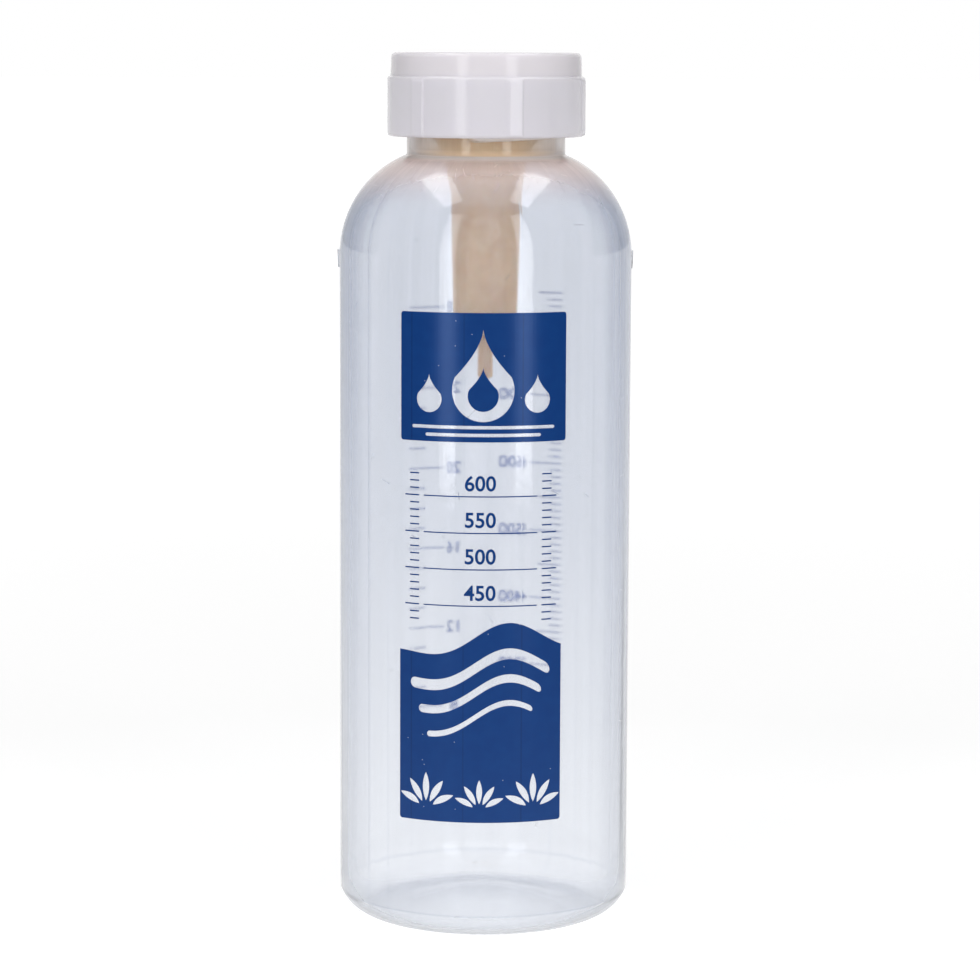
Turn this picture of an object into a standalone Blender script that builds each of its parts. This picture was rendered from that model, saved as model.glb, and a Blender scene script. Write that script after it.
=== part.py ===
"""Lamb feeding bottle: a blown one-litre bottle, stored with its teat turned down inside the neck.

The origin is the middle of the base and +Z is up. The bottle stands on its foot ring at Z = 0. The screw
ring, the teat and the valve plate are measured up from the bottle's rim.
"""
import math

import bmesh
import bpy
from mathutils import Matrix, Vector

# Gaps and overlaps shared by the fits
SEAT_GAP = 0.0003
BITE = 0.0005

# Bottle body and base
BODY_RADIUS = 0.041
BODY_WALL = 0.0011
BODY_TOP = 0.187
SHOULDER_RADIUS = 0.030
CREASE_HEIGHT = 0.00705
HEEL_RADIUS = 0.0103
FOOT_WIDTH = 0.0025
PUNT_HEIGHT = 0.0045

# Registration lugs on the two sides of the body
LUG_HEIGHT = 0.005
LUG_WIDTH = 0.004
LUG_PROUD = 0.0007
LUG_FOOT_PROUD = 0.0002
LUG_RISE = 0.0012

# Bottle neck and its thread
NECK_RADIUS = 0.02215
NECK_WALL = 0.00215
NECK_SHOW = 0.0049
RIM_EDGE = 0.0004
THREAD_PITCH = 0.006
THREAD_DEPTH = 0.0025
THREAD_CREST = 0.0014
THREAD_SLOPE = 0.32
NECK_THREAD_TURNS = 1.75
NECK_THREAD_START = -102.0
NECK_THREAD_RISE = 0.0002
THREAD_END_STEPS = 2
THREAD_END_RISE = 0.15

# Screw ring
RING_SKIRT = 0.016
RING_CLEARANCE = 0.0008
RING_WALL = 0.0021
RING_THREAD_TURNS = 1.25
RING_THREAD_EDGE = 0.0004
THREAD_ROOT_GAP = 0.0006
FLANK_GAP = 0.00035
TIER_STEP = 0.0009
TIER_WALL = 0.0022
TIER_DRAFT = 0.00018
TIER_HEIGHT = 0.0066
BORE_STEP_DEPTH = 0.001
LIP_THICKNESS = 0.002
HOLE_CLEARANCE = 0.0002
TOP_ROUND = 0.0014
LEDGE_ROUND = 0.0005
SKIRT_ROUND = 0.001
RIB_COUNT = 6
RIB_WIDTH = 0.0037
RIB_PROUD = 0.0007
RIB_ROUND = 0.00056
RIB_ANGLE = -72.4
RIB_TOP_DROP = 0.0008
RIB_FOOT = 0.0004

# Teat
FLANGE_CLEARANCE = 0.0004
FLANGE_LOWER = 0.0012
FLANGE_UPPER = 0.001
FLANGE_EDGE = 0.0004
GROOVE_WALL = 0.0021
WRAP_GRIP = 0.0014
BELL_CLEARANCE = 0.0012
BELL_WALL = 0.0024
BELL_DEPTH = 0.009
TUBE_ROOT_RADIUS = 0.00955
TUBE_END_RADIUS = 0.0089
TUBE_WALL = 0.0018
TUBE_LENGTH = 0.0637
FLARE_DEPTH = 0.0199
FLARE_WIDTH = 0.0031
FLARE_LENGTH = 0.0061
FLARE_BLEND = 0.0006
FLARE_END = 0.038
BEAD_DEPTH = 0.0363
BEAD_PROUD = 0.0002
BEAD_LENGTH = 0.0009
NIB_RADIUS = 0.0021
NIB_LENGTH = 0.011
NIB_EDGE = 0.0009
MILK_HOLE_RADIUS = 0.0006

# Valve plate
PLATE_THICKNESS = 0.0018
DISH_DEPTH = 0.0024
DISH_SLOPE = 0.0014
PORT_COUNT = 6
PORT_RADIUS = 0.0014
PORT_CIRCLE = 0.005
AIR_PORT_RADIUS = 0.0006
AIR_PORT_OFFSET = 0.003
AIR_PORT_INSET = 0.0012
AIR_SLOT_WIDTH = 0.0014
AIR_SLOT_DEPTH = 0.0006

# Umbrella valves: one under the plate for the milk, one on top of it for the air
SKIRT_OVERLAP = 0.0008
SKIRT_EDGE = 0.0007
MILK_STEM_RADIUS = 0.0015
MILK_SKIRT_MIDDLE = 0.0013
MILK_TRAVEL = 0.001
AIR_OVERLAP = 0.0005
AIR_STEM_RADIUS = 0.0008
AIR_SKIRT_MIDDLE = 0.0009
AIR_TRAVEL = 0.0006
BULB_OVERHANG = 0.0006
BULB_HEIGHT = 0.0014

# Facets round each turned piece
BOTTLE_SIDES = 48
RING_SIDES = 54
TEAT_SIDES = 32
PLATE_SIDES = 40
VALVE_SIDES = 20
PORT_SIDES = 14
THREAD_SIDES = 40

# Bottle sizes that follow from those above
HEEL_REACH = math.sqrt(HEEL_RADIUS ** 2 - (HEEL_RADIUS - CREASE_HEIGHT) ** 2)
FOOT_OUTER = BODY_RADIUS - HEEL_REACH
FOOT_INNER = FOOT_OUTER - FOOT_WIDTH
SHOULDER_CENTRE = BODY_RADIUS - SHOULDER_RADIUS
NECK_BORE = NECK_RADIUS - NECK_WALL
NECK_FOOT = BODY_TOP + math.sqrt(SHOULDER_RADIUS ** 2 - (NECK_RADIUS - SHOULDER_CENTRE) ** 2)
RIM_TOP = NECK_FOOT + NECK_SHOW + RING_SKIRT

# Heights in the closure, from the bottle's rim
FLANGE_BOTTOM = SEAT_GAP
GROOVE_FLOOR = FLANGE_BOTTOM + FLANGE_LOWER
PLATE_BOTTOM = GROOVE_FLOOR + SEAT_GAP
PLATE_TOP = PLATE_BOTTOM + PLATE_THICKNESS
GROOVE_ROOF = PLATE_TOP + SEAT_GAP
FLANGE_TOP = GROOVE_ROOF + FLANGE_UPPER
LIP_BOTTOM = FLANGE_TOP + SEAT_GAP
RING_TOP = LIP_BOTTOM + LIP_THICKNESS
RING_BOTTOM = -RING_SKIRT
LEDGE = RING_TOP - TIER_HEIGHT

# Radii in the closure
THREAD_CREST_RADIUS = NECK_RADIUS + THREAD_DEPTH
RING_BORE = THREAD_CREST_RADIUS + RING_CLEARANCE
RING_RADIUS = RING_BORE + RING_WALL
TIER_RADIUS = RING_RADIUS - TIER_STEP
TIER_BORE = TIER_RADIUS - TIER_WALL
BELL_RADIUS = NECK_BORE - BELL_CLEARANCE
BELL_BORE = BELL_RADIUS - BELL_WALL
RING_HOLE = BELL_RADIUS + HOLE_CLEARANCE
FLANGE_RADIUS = TIER_BORE - FLANGE_CLEARANCE
GROOVE_RADIUS = FLANGE_RADIUS - GROOVE_WALL
PLATE_RADIUS = GROOVE_RADIUS - SEAT_GAP
WRAP_RADIUS = PLATE_RADIUS - WRAP_GRIP
MILK_SKIRT_RADIUS = PORT_CIRCLE + PORT_RADIUS + SKIRT_OVERLAP
DISH_RADIUS = MILK_SKIRT_RADIUS + SKIRT_OVERLAP
AIR_SKIRT_RADIUS = AIR_PORT_OFFSET + AIR_PORT_RADIUS + AIR_OVERLAP
AIR_PORT_PLACE = BELL_BORE + AIR_PORT_INSET
AIR_STEM_PLACE = AIR_PORT_PLACE - AIR_PORT_OFFSET


def clear_scene():
    for obj in list(bpy.data.objects):
        bpy.data.objects.remove(obj, do_unlink=True)


def new_collection(name):
    collection = bpy.data.collections.new(name)
    bpy.context.scene.collection.children.link(collection)
    return collection


def plastic(name, colour, roughness, alpha=1.0):
    material = bpy.data.materials.new(name)
    material.use_nodes = True
    shader = material.node_tree.nodes["Principled BSDF"]
    shader.inputs["Base Color"].default_value = (*colour, 1.0)
    shader.inputs["Roughness"].default_value = roughness
    shader.inputs["Metallic"].default_value = 0.0
    shader.inputs["Alpha"].default_value = alpha
    return material


def spread(start, end, steps):
    """Evenly spaced values from start to end, both included."""
    return [start + (end - start) * step / steps for step in range(steps + 1)]


def arc(centre, reach, start, end, steps):
    """Points of an elliptical arc in the radius and height plane, angles in degrees from the +radius side."""
    points = []
    for degrees in spread(start, end, steps):
        angle = math.radians(degrees)
        points.append((centre[0] + reach[0] * math.cos(angle), centre[1] + reach[1] * math.sin(angle)))
    return points


def turned(name, outline, sides, collection, material, closed):
    """A turned piece: its outline, swept round Z. Its outer side runs from top to bottom."""
    mesh = bpy.data.meshes.new(name)
    count = len(outline)
    edges = [(index, index + 1) for index in range(count - 1)]
    if closed:
        edges.append((count - 1, 0))
    mesh.from_pydata([(radius, 0.0, height) for radius, height in outline], edges, [])
    mesh.materials.append(material)
    obj = bpy.data.objects.new(name, mesh)
    collection.objects.link(obj)
    sweep = obj.modifiers.new("Turn", "SCREW")
    sweep.axis = "Z"
    sweep.steps = sides
    sweep.render_steps = sides
    sweep.use_merge_vertices = True
    sweep.merge_threshold = 0.00001
    sweep.use_smooth_shade = True
    return obj


def helper(name, mesh, collection, parent=None):
    """An object that only adds to or cuts another one."""
    obj = bpy.data.objects.new(name, mesh)
    collection.objects.link(obj)
    obj.parent = parent
    obj.hide_render = True
    obj.display_type = "WIRE"
    return obj


def apply_boolean(obj, other, operation):
    change = obj.modifiers.new(f"{operation.title()} {other.name}", "BOOLEAN")
    change.operation = operation
    change.solver = "EXACT"
    change.object = other


def mesh_of(name, bm):
    bmesh.ops.recalc_face_normals(bm, faces=bm.faces)
    mesh = bpy.data.meshes.new(name)
    bm.to_mesh(mesh)
    bm.free()
    return mesh


def box_mesh(name, low, high):
    bm = bmesh.new()
    bmesh.ops.create_cube(bm, size=1.0)
    for vert in bm.verts:
        for axis in range(3):
            vert.co[axis] = low[axis] if vert.co[axis] < 0 else high[axis]
    return mesh_of(name, bm)


def rods_mesh(name, places, radius, sides, bottom, top):
    """Upright rods at the given places, as one mesh."""
    bm = bmesh.new()
    for across, along in places:
        rod = bmesh.ops.create_cone(
            bm, cap_ends=True, segments=sides, radius1=radius, radius2=radius, depth=top - bottom
        )
        bmesh.ops.translate(bm, verts=rod["verts"], vec=Vector((across, along, (top + bottom) / 2)))
    return mesh_of(name, bm)


def thread_mesh(name, root, crest, start_angle, start_height, turns):
    """A right-hand screw ridge between two radii, its root sunk into the wall that carries it.

    It is a loft of trapezium sections, because the ridge sinks back into its wall at both ends.
    """
    outwards = 1.0 if crest > root else -1.0
    sunk = root - outwards * BITE
    steps = round(turns * THREAD_SIDES)
    bm = bmesh.new()
    rings = []
    for step, turn in enumerate(spread(0.0, turns, steps)):
        angle = math.radians(start_angle) + 2 * math.pi * turn
        height = start_height + THREAD_PITCH * turn
        from_end = min(step, steps - step) / THREAD_END_STEPS
        rise = min(1.0, THREAD_END_RISE + (1 - THREAD_END_RISE) * from_end)
        tip = root + (crest - root) * rise
        section = []
        for radius, side in ((sunk, -1), (tip, -1), (tip, 1), (sunk, 1)):
            half = THREAD_CREST / 2 + THREAD_SLOPE * abs(crest - radius)
            place = (radius * math.cos(angle), radius * math.sin(angle), height + side * half)
            section.append(bm.verts.new(place))
        rings.append(section)
    for first, second in zip(rings, rings[1:]):
        for index in range(4):
            other = (index + 1) % 4
            bm.faces.new((first[index], first[other], second[other], second[index]))
    bm.faces.new(rings[0])
    bm.faces.new(rings[-1][::-1])
    return mesh_of(name, bm)


def bottle_outline():
    """One wall: the inside from the floor up to the rim, then the outside down to the punt."""
    heel_centre = (FOOT_OUTER, HEEL_RADIUS)
    heel_inside = HEEL_RADIUS - BODY_WALL
    inner_crease = -math.degrees(math.acos((HEEL_REACH - BODY_WALL) / heel_inside))
    crease = -math.degrees(math.acos(HEEL_REACH / HEEL_RADIUS))
    shoulder_centre = (SHOULDER_CENTRE, BODY_TOP)
    shoulder_inside = SHOULDER_RADIUS - BODY_WALL
    inner_neck = math.degrees(math.acos((NECK_BORE - SHOULDER_CENTRE) / shoulder_inside))
    outer_neck = math.degrees(math.acos((NECK_RADIUS - SHOULDER_CENTRE) / SHOULDER_RADIUS))

    outline = [(0.0, BODY_WALL + PUNT_HEIGHT)]
    outline += arc((0.0, BODY_WALL), (FOOT_INNER + BODY_WALL, PUNT_HEIGHT), 90, 0, 6)[1:]
    outline += arc(heel_centre, (heel_inside, heel_inside), -90, inner_crease, 5)
    outline += arc(shoulder_centre, (shoulder_inside, shoulder_inside), 0, inner_neck, 8)
    outline += [
        (NECK_BORE, RIM_TOP - RIM_EDGE),
        (NECK_BORE + RIM_EDGE, RIM_TOP),
        (NECK_RADIUS - RIM_EDGE, RIM_TOP),
        (NECK_RADIUS, RIM_TOP - RIM_EDGE),
    ]
    outline += arc(shoulder_centre, (SHOULDER_RADIUS, SHOULDER_RADIUS), outer_neck, 0, 10)
    outline += arc(heel_centre, (HEEL_RADIUS, HEEL_RADIUS), crease, -90, 5)
    outline += arc((0.0, 0.0), (FOOT_INNER, PUNT_HEIGHT), 0, 90, 6)[:-1]
    outline += [(0.0, PUNT_HEIGHT)]
    return outline


def lug_mesh(side):
    """A wedge on the body, proud at its top and nearly flush at its foot."""
    top = BODY_TOP + LUG_RISE
    bm = bmesh.new()
    bmesh.ops.create_cube(bm, size=1.0)
    for vert in bm.verts:
        upper = vert.co.z > 0
        proud = LUG_PROUD if upper else LUG_FOOT_PROUD
        vert.co.x = side * (BODY_RADIUS + (proud if vert.co.x > 0 else -BITE))
        vert.co.y *= LUG_WIDTH
        vert.co.z = top if upper else top - LUG_HEIGHT
    return mesh_of("lug", bm)


def make_bottle(parts, helpers):
    natural = plastic("Blown polypropylene", (0.68, 0.73, 0.82), 0.25, alpha=0.45)
    bottle = turned("bottle", bottle_outline(), BOTTLE_SIDES, parts, natural, closed=False)
    for name, side in (("left_lug", -1), ("right_lug", 1)):
        apply_boolean(bottle, helper(name, lug_mesh(side), helpers), "UNION")
    bottom = RIM_TOP + RING_BOTTOM + NECK_THREAD_RISE
    ridge = thread_mesh(
        "neck_thread", NECK_RADIUS, THREAD_CREST_RADIUS, NECK_THREAD_START, bottom, NECK_THREAD_TURNS
    )
    apply_boolean(bottle, helper("neck_thread", ridge, helpers), "UNION")


def ring_outline():
    """A stepped ring with an inward lip at its top and a wider bore for the thread below."""
    top_centre = (TIER_RADIUS - TIER_DRAFT - TOP_ROUND, RING_TOP - TOP_ROUND)
    ledge_centre = (RING_RADIUS - LEDGE_ROUND, LEDGE - LEDGE_ROUND)
    skirt_centre = (RING_RADIUS - SKIRT_ROUND, RING_BOTTOM + SKIRT_ROUND)
    outline = [(RING_HOLE + LEDGE_ROUND, RING_TOP)]
    outline += arc(top_centre, (TOP_ROUND, TOP_ROUND), 90, 0, 4)
    outline += [(TIER_RADIUS, LEDGE)]
    outline += arc(ledge_centre, (LEDGE_ROUND, LEDGE_ROUND), 90, 0, 2)
    outline += arc(skirt_centre, (SKIRT_ROUND, SKIRT_ROUND), 0, -90, 3)
    outline += [
        (RING_BORE + LEDGE_ROUND, RING_BOTTOM),
        (RING_BORE, RING_BOTTOM + LEDGE_ROUND),
        (RING_BORE, -BORE_STEP_DEPTH - (RING_BORE - TIER_BORE)),
        (TIER_BORE, -BORE_STEP_DEPTH),
        (TIER_BORE, LIP_BOTTOM),
        (RING_HOLE, LIP_BOTTOM),
        (RING_HOLE, RING_TOP - LEDGE_ROUND),
    ]
    return outline


def ribs_mesh():
    """The grip ribs, bevelled bars standing out of the ring's lower tier at even angles."""
    bm = bmesh.new()
    bottom = RING_BOTTOM + RIB_FOOT
    top = LEDGE - RIB_TOP_DROP
    for number in range(RIB_COUNT):
        rib = bmesh.ops.create_cube(bm, size=1.0)
        for vert in rib["verts"]:
            vert.co.x = RING_RADIUS + (RIB_PROUD if vert.co.x > 0 else -BITE)
            vert.co.y *= RIB_WIDTH
            vert.co.z = top if vert.co.z > 0 else bottom
        edges = {edge for vert in rib["verts"] for edge in vert.link_edges}
        outer = [edge for edge in edges if all(vert.co.x > RING_RADIUS for vert in edge.verts)]
        bevelled = bmesh.ops.bevel(
            bm, geom=outer, offset=RIB_ROUND, segments=2, profile=0.5, affect="EDGES"
        )
        verts = set(bevelled["verts"]) | {vert for vert in rib["verts"] if vert.is_valid}
        turn = Matrix.Rotation(math.radians(RIB_ANGLE + 360 * number / RIB_COUNT), 3, "Z")
        bmesh.ops.rotate(bm, verts=list(verts), cent=Vector(), matrix=turn)
    return mesh_of("grip_ribs", bm)


def make_ring(parts, helpers, rim):
    white = plastic("Moulded polypropylene", (0.66, 0.65, 0.69), 0.35)
    ring = turned("screw_ring", ring_outline(), RING_SIDES, parts, white, closed=True)
    ring.parent = rim
    apply_boolean(ring, helper("grip_ribs", ribs_mesh(), helpers, rim), "UNION")

    # The ring's ridge lies under the neck's ridge, a flank's gap away, wherever the two pass each other
    crest = NECK_RADIUS + THREAD_ROOT_GAP
    bottom = RING_BOTTOM + RING_THREAD_EDGE + THREAD_CREST / 2 + THREAD_SLOPE * (RING_BORE - crest)
    under = THREAD_CREST + THREAD_SLOPE * (THREAD_CREST_RADIUS - crest) + FLANK_GAP
    start_turn = (bottom + under - RING_BOTTOM - NECK_THREAD_RISE) / THREAD_PITCH
    angle = NECK_THREAD_START + 360 * start_turn
    ridge = thread_mesh("ring_thread", RING_BORE, crest, angle, bottom, RING_THREAD_TURNS)
    apply_boolean(ring, helper("ring_thread", ridge, helpers, rim), "UNION")
    release = NECK_THREAD_TURNS - start_turn
    print(f"the threads part after {360 * release:.1f} degrees, {1000 * THREAD_PITCH * release:.2f} mm up")


def smooth_least(first, second, blend):
    """The lesser of two sizes, with the corner between them rounded off."""
    low, high = sorted((first, second))
    return low - blend * math.log(1 + math.exp((low - high) / blend))


def flare_radius(depth):
    """Outside radius of the teat's tube and of the flare that widens it towards the bell."""
    along = min(max((depth - FLARE_END) / (TUBE_LENGTH - FLARE_END), 0.0), 1.0)
    tube = TUBE_ROOT_RADIUS + (TUBE_END_RADIUS - TUBE_ROOT_RADIUS) * along
    bead = BEAD_PROUD * math.exp(-(((depth - BEAD_DEPTH) / BEAD_LENGTH) ** 2))
    return tube + bead + FLARE_WIDTH * math.exp((FLARE_DEPTH - depth) / FLARE_LENGTH)


def teat_outline():
    """The teat hangs from its flange: the bell, the flare, the tube, its round end and the uncut nib."""
    tip = TUBE_LENGTH + TUBE_END_RADIUS + NIB_LENGTH
    tube_bore = TUBE_END_RADIUS - TUBE_WALL
    end_centre = (0.0, -TUBE_LENGTH)
    nib_angle = -math.degrees(math.acos(NIB_RADIUS / TUBE_END_RADIUS))
    hole_angle = -math.degrees(math.acos(MILK_HOLE_RADIUS / tube_bore))
    bead_half = 1.5 * BEAD_LENGTH
    outside = spread(BELL_DEPTH, FLARE_END, 11)[:-1]
    outside += spread(BEAD_DEPTH - bead_half, BEAD_DEPTH + bead_half, 3)
    outside += spread(FLARE_END, TUBE_LENGTH, 4)[1:]
    inside = spread(BELL_DEPTH, FLARE_END, 6) + spread(FLARE_END, TUBE_LENGTH, 2)[1:]

    outline = [
        (WRAP_RADIUS, FLANGE_TOP),
        (FLANGE_RADIUS - FLANGE_EDGE, FLANGE_TOP),
        (FLANGE_RADIUS, FLANGE_TOP - FLANGE_EDGE),
        (FLANGE_RADIUS, FLANGE_BOTTOM + FLANGE_EDGE),
        (FLANGE_RADIUS - FLANGE_EDGE, FLANGE_BOTTOM),
        (BELL_RADIUS + 2 * FLANGE_EDGE, FLANGE_BOTTOM),
        (BELL_RADIUS, FLANGE_BOTTOM - 2 * FLANGE_EDGE),
    ]
    for depth in sorted(outside):
        outline.append((smooth_least(BELL_RADIUS, flare_radius(depth), FLARE_BLEND), -depth))
    outline += arc(end_centre, (TUBE_END_RADIUS, TUBE_END_RADIUS), 0, nib_angle, 6)[1:]
    outline += [
        (NIB_RADIUS, -tip + NIB_EDGE),
        (NIB_RADIUS - NIB_EDGE, -tip),
        (MILK_HOLE_RADIUS, -tip),
    ]
    outline += arc(end_centre, (tube_bore, tube_bore), hole_angle, 0, 5)[:-1]
    for depth in reversed(inside):
        bore = flare_radius(depth + TUBE_WALL / 2) - TUBE_WALL
        outline.append((smooth_least(BELL_BORE, bore, FLARE_BLEND), -depth))
    outline += [
        (BELL_BORE, GROOVE_FLOOR),
        (GROOVE_RADIUS, GROOVE_FLOOR),
        (GROOVE_RADIUS, GROOVE_ROOF),
        (WRAP_RADIUS, GROOVE_ROOF),
    ]
    return outline


def make_teat(parts, helpers, rim):
    """The teat, its flange wrapped round the valve plate's edge and notched where air comes in."""
    rubber = plastic("Natural rubber", (0.52, 0.36, 0.23), 0.45)
    teat = turned("teat", teat_outline(), TEAT_SIDES, parts, rubber, closed=True)
    teat.parent = rim
    notch = box_mesh(
        "vent_notch",
        (GROOVE_RADIUS - BITE, -AIR_SLOT_WIDTH / 2, PLATE_BOTTOM),
        (FLANGE_RADIUS + BITE, AIR_SLOT_WIDTH / 2, PLATE_BOTTOM + AIR_SLOT_DEPTH),
    )
    apply_boolean(teat, helper("vent_notch", notch, helpers, rim), "DIFFERENCE")


def plate_outline():
    wall = DISH_RADIUS + PLATE_THICKNESS / 2
    return [
        (0.0, PLATE_TOP - DISH_DEPTH),
        (DISH_RADIUS, PLATE_TOP - DISH_DEPTH),
        (DISH_RADIUS + DISH_SLOPE, PLATE_TOP),
        (PLATE_RADIUS - SEAT_GAP, PLATE_TOP),
        (PLATE_RADIUS, PLATE_TOP - SEAT_GAP),
        (PLATE_RADIUS, PLATE_BOTTOM + SEAT_GAP),
        (PLATE_RADIUS - SEAT_GAP, PLATE_BOTTOM),
        (wall + DISH_SLOPE, PLATE_BOTTOM),
        (wall, PLATE_BOTTOM - DISH_DEPTH),
        (0.0, PLATE_BOTTOM - DISH_DEPTH),
    ]


def make_plate(parts, helpers, rim):
    """The valve plate, dished in the middle, with its milk ports and an air port that leads to its edge."""
    white = plastic("Moulded valve plastic", (0.80, 0.80, 0.80), 0.4)
    plate = turned("valve_plate", plate_outline(), PLATE_SIDES, parts, white, closed=False)
    plate.parent = rim
    low = PLATE_BOTTOM - DISH_DEPTH - BITE
    high = PLATE_TOP + BITE
    ports = []
    for number in range(PORT_COUNT):
        angle = 2 * math.pi * (number + 0.5) / PORT_COUNT
        ports.append((PORT_CIRCLE * math.cos(angle), PORT_CIRCLE * math.sin(angle)))
    rods = (
        ("milk_ports", ports, PORT_RADIUS, PORT_SIDES),
        ("milk_stem_hole", [(0.0, 0.0)], MILK_STEM_RADIUS + SEAT_GAP, VALVE_SIDES),
        ("air_stem_hole", [(AIR_STEM_PLACE, 0.0)], AIR_STEM_RADIUS + SEAT_GAP, VALVE_SIDES),
        ("air_port", [(AIR_PORT_PLACE, 0.0)], AIR_PORT_RADIUS, PORT_SIDES),
    )
    cuts = [rods_mesh(name, places, radius, sides, low, high) for name, places, radius, sides in rods]
    cuts.append(box_mesh(
        "air_slot",
        (AIR_PORT_PLACE, -AIR_SLOT_WIDTH / 2, low),
        (PLATE_RADIUS + BITE, AIR_SLOT_WIDTH / 2, PLATE_BOTTOM + AIR_SLOT_DEPTH),
    ))
    for mesh in cuts:
        apply_boolean(plate, helper(mesh.name, mesh, helpers, rim), "DIFFERENCE")


def umbrella_outline(stem, skirt, middle, travel):
    """A valve with its skirt up: domed skirt, stem through the plate, and the bulb that holds it in."""
    under = SEAT_GAP
    bulb_top = -(PLATE_THICKNESS + travel + SEAT_GAP)
    outline = [(0.0, under + middle)]
    outline += arc((0.0, under + SKIRT_EDGE), (skirt, middle - SKIRT_EDGE), 90, 0, 5)[1:]
    outline += [
        (skirt, under),
        (stem, under),
        (stem, bulb_top),
        (stem + BULB_OVERHANG, bulb_top),
        (stem + BULB_OVERHANG, bulb_top - BULB_HEIGHT / 3),
        (stem / 2, bulb_top - BULB_HEIGHT),
        (0.0, bulb_top - BULB_HEIGHT),
    ]
    return outline


def make_valves(parts, rim):
    silicone = plastic("Valve silicone", (0.60, 0.62, 0.64), 0.35)
    outline = umbrella_outline(MILK_STEM_RADIUS, MILK_SKIRT_RADIUS, MILK_SKIRT_MIDDLE, MILK_TRAVEL)
    milk = turned("milk_valve", outline, VALVE_SIDES, parts, silicone, closed=False)
    milk.parent = rim
    milk.location = (0.0, 0.0, PLATE_BOTTOM - DISH_DEPTH)
    milk.rotation_euler = (math.pi, 0.0, 0.0)
    outline = umbrella_outline(AIR_STEM_RADIUS, AIR_SKIRT_RADIUS, AIR_SKIRT_MIDDLE, AIR_TRAVEL)
    air = turned("air_valve", outline, VALVE_SIDES, parts, silicone, closed=False)
    air.parent = rim
    air.location = (AIR_STEM_PLACE, 0.0, PLATE_TOP)


def main():
    clear_scene()
    parts = new_collection("Lamb feeding bottle")
    helpers = new_collection("Cutters and added shapes")
    rim = bpy.data.objects.new("rim", None)
    rim.location = (0.0, 0.0, RIM_TOP)
    parts.objects.link(rim)
    make_bottle(parts, helpers)
    make_ring(parts, helpers, rim)
    make_teat(parts, helpers, rim)
    make_plate(parts, helpers, rim)
    make_valves(parts, rim)


main()
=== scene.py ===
"""Looks of a lamb feeding bottle, stored with its teat turned down inside the neck.

Lengths are in metres. The bottle stands on its foot ring at Z = 0, its printed front faces -Y, and the ring,
the teat and the valve plate are measured up from the bottle's rim.
"""
import math
from functools import partial

import bmesh
import bpy
from mathutils import Matrix, Vector


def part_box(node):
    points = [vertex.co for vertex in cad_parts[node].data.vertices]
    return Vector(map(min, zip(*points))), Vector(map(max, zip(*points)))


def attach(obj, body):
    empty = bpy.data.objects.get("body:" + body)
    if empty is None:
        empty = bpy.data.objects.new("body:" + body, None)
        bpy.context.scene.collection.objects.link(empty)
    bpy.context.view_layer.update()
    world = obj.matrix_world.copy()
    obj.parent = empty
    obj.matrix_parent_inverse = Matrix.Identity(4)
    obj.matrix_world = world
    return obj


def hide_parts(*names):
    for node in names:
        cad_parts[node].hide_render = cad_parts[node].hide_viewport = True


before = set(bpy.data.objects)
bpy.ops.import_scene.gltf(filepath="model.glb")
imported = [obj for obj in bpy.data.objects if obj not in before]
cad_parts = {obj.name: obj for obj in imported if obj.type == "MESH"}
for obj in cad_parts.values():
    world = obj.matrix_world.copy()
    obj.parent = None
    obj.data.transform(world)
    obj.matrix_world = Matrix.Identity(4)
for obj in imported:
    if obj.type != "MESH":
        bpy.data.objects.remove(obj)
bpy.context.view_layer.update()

# The bottle
# Natural polypropylene, extrusion blow-moulded in one piece: thin wall, threaded neck, domed shoulder, a
# straight body for the printing, a rolled heel and a base raised in the middle. Two lugs key it for printing.
bottle_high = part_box("bottle")[1]
INK_ROOM = 0.00008
BODY_RADIUS = bottle_high.y - INK_ROOM
BODY_WALL = 0.0011 - INK_ROOM
BODY_TOP = 0.187
SHOULDER_RADIUS = 0.030 - INK_ROOM
CREASE_HEIGHT = 0.00705
HEEL_RADIUS = 0.0103
FOOT_WIDTH = 0.0025
PUNT_HEIGHT = 0.0045
RIM_TOP = bottle_high.z
NECK_RADIUS = 0.02215
NECK_BORE = 0.020
RIM_ROUND = 0.0006
THREAD_PITCH = 0.006
THREAD_CREST_RADIUS = 0.02465
THREAD_CREST = 0.0014
THREAD_SLOPE = 0.32
NECK_THREAD_START = -102.0
NECK_THREAD_BOTTOM = RIM_TOP - 0.0158
NECK_THREAD_TURNS = 1.75
LUG_TOP = 0.1882
LUG_HEIGHT = 0.005
LUG_WIDTH = 0.004
LUG_PROUD = 0.00035
LUG_FOOT_PROUD = 0.00015
LUG_ROOT = 0.0004
LUG_EDGE = 0.00015
NECK_FILLET = 0.0006
BORE_FILLET = 0.0022
FRONT = -90.0
DIE_LINES = (
    (-118.0, 0.5), (-51.5, 1.0), (-40.5, 0.5), (-29.0, 0.2), (-8.0, 0.15), (14.5, 0.2),
    (38.5, 0.35), (47.0, 0.25), (60.0, 0.6), (103.0, 0.5), (150.0, 0.8),
)
DIE_LINE_WIDTH = 0.22
DIE_LINE_PROUD = 0.00004
BORE_WAVE = 0.00004
SKIN_WAVE = 0.00003
BODY_SIDES = 240


def spread(start, end, steps):
    """Evenly spaced values from start to end, both included."""
    return [start + (end - start) * step / steps for step in range(steps + 1)]


def arc(centre, reach, start, end, steps, rise=1.0):
    """Points of an arc in the radius and height plane, its height scaled by rise. 0 degrees is the +radius side."""
    turns = [math.radians(degrees) for degrees in spread(start, end, steps)]
    return [(centre[0] + reach * math.cos(turn), centre[1] + reach * rise * math.sin(turn)) for turn in turns]


def round_steps(sides, extra=()):
    """Angles once round, in degrees, with a few more beside each place in extra."""
    near = (-0.5, -0.25, -0.1, 0.1, 0.25, 0.5)
    angles = {round(360 * side / sides, 4) for side in range(sides)}
    angles |= {round((place + step) % 360, 4) for place in extra for step in near}
    return sorted(angles)


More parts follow.
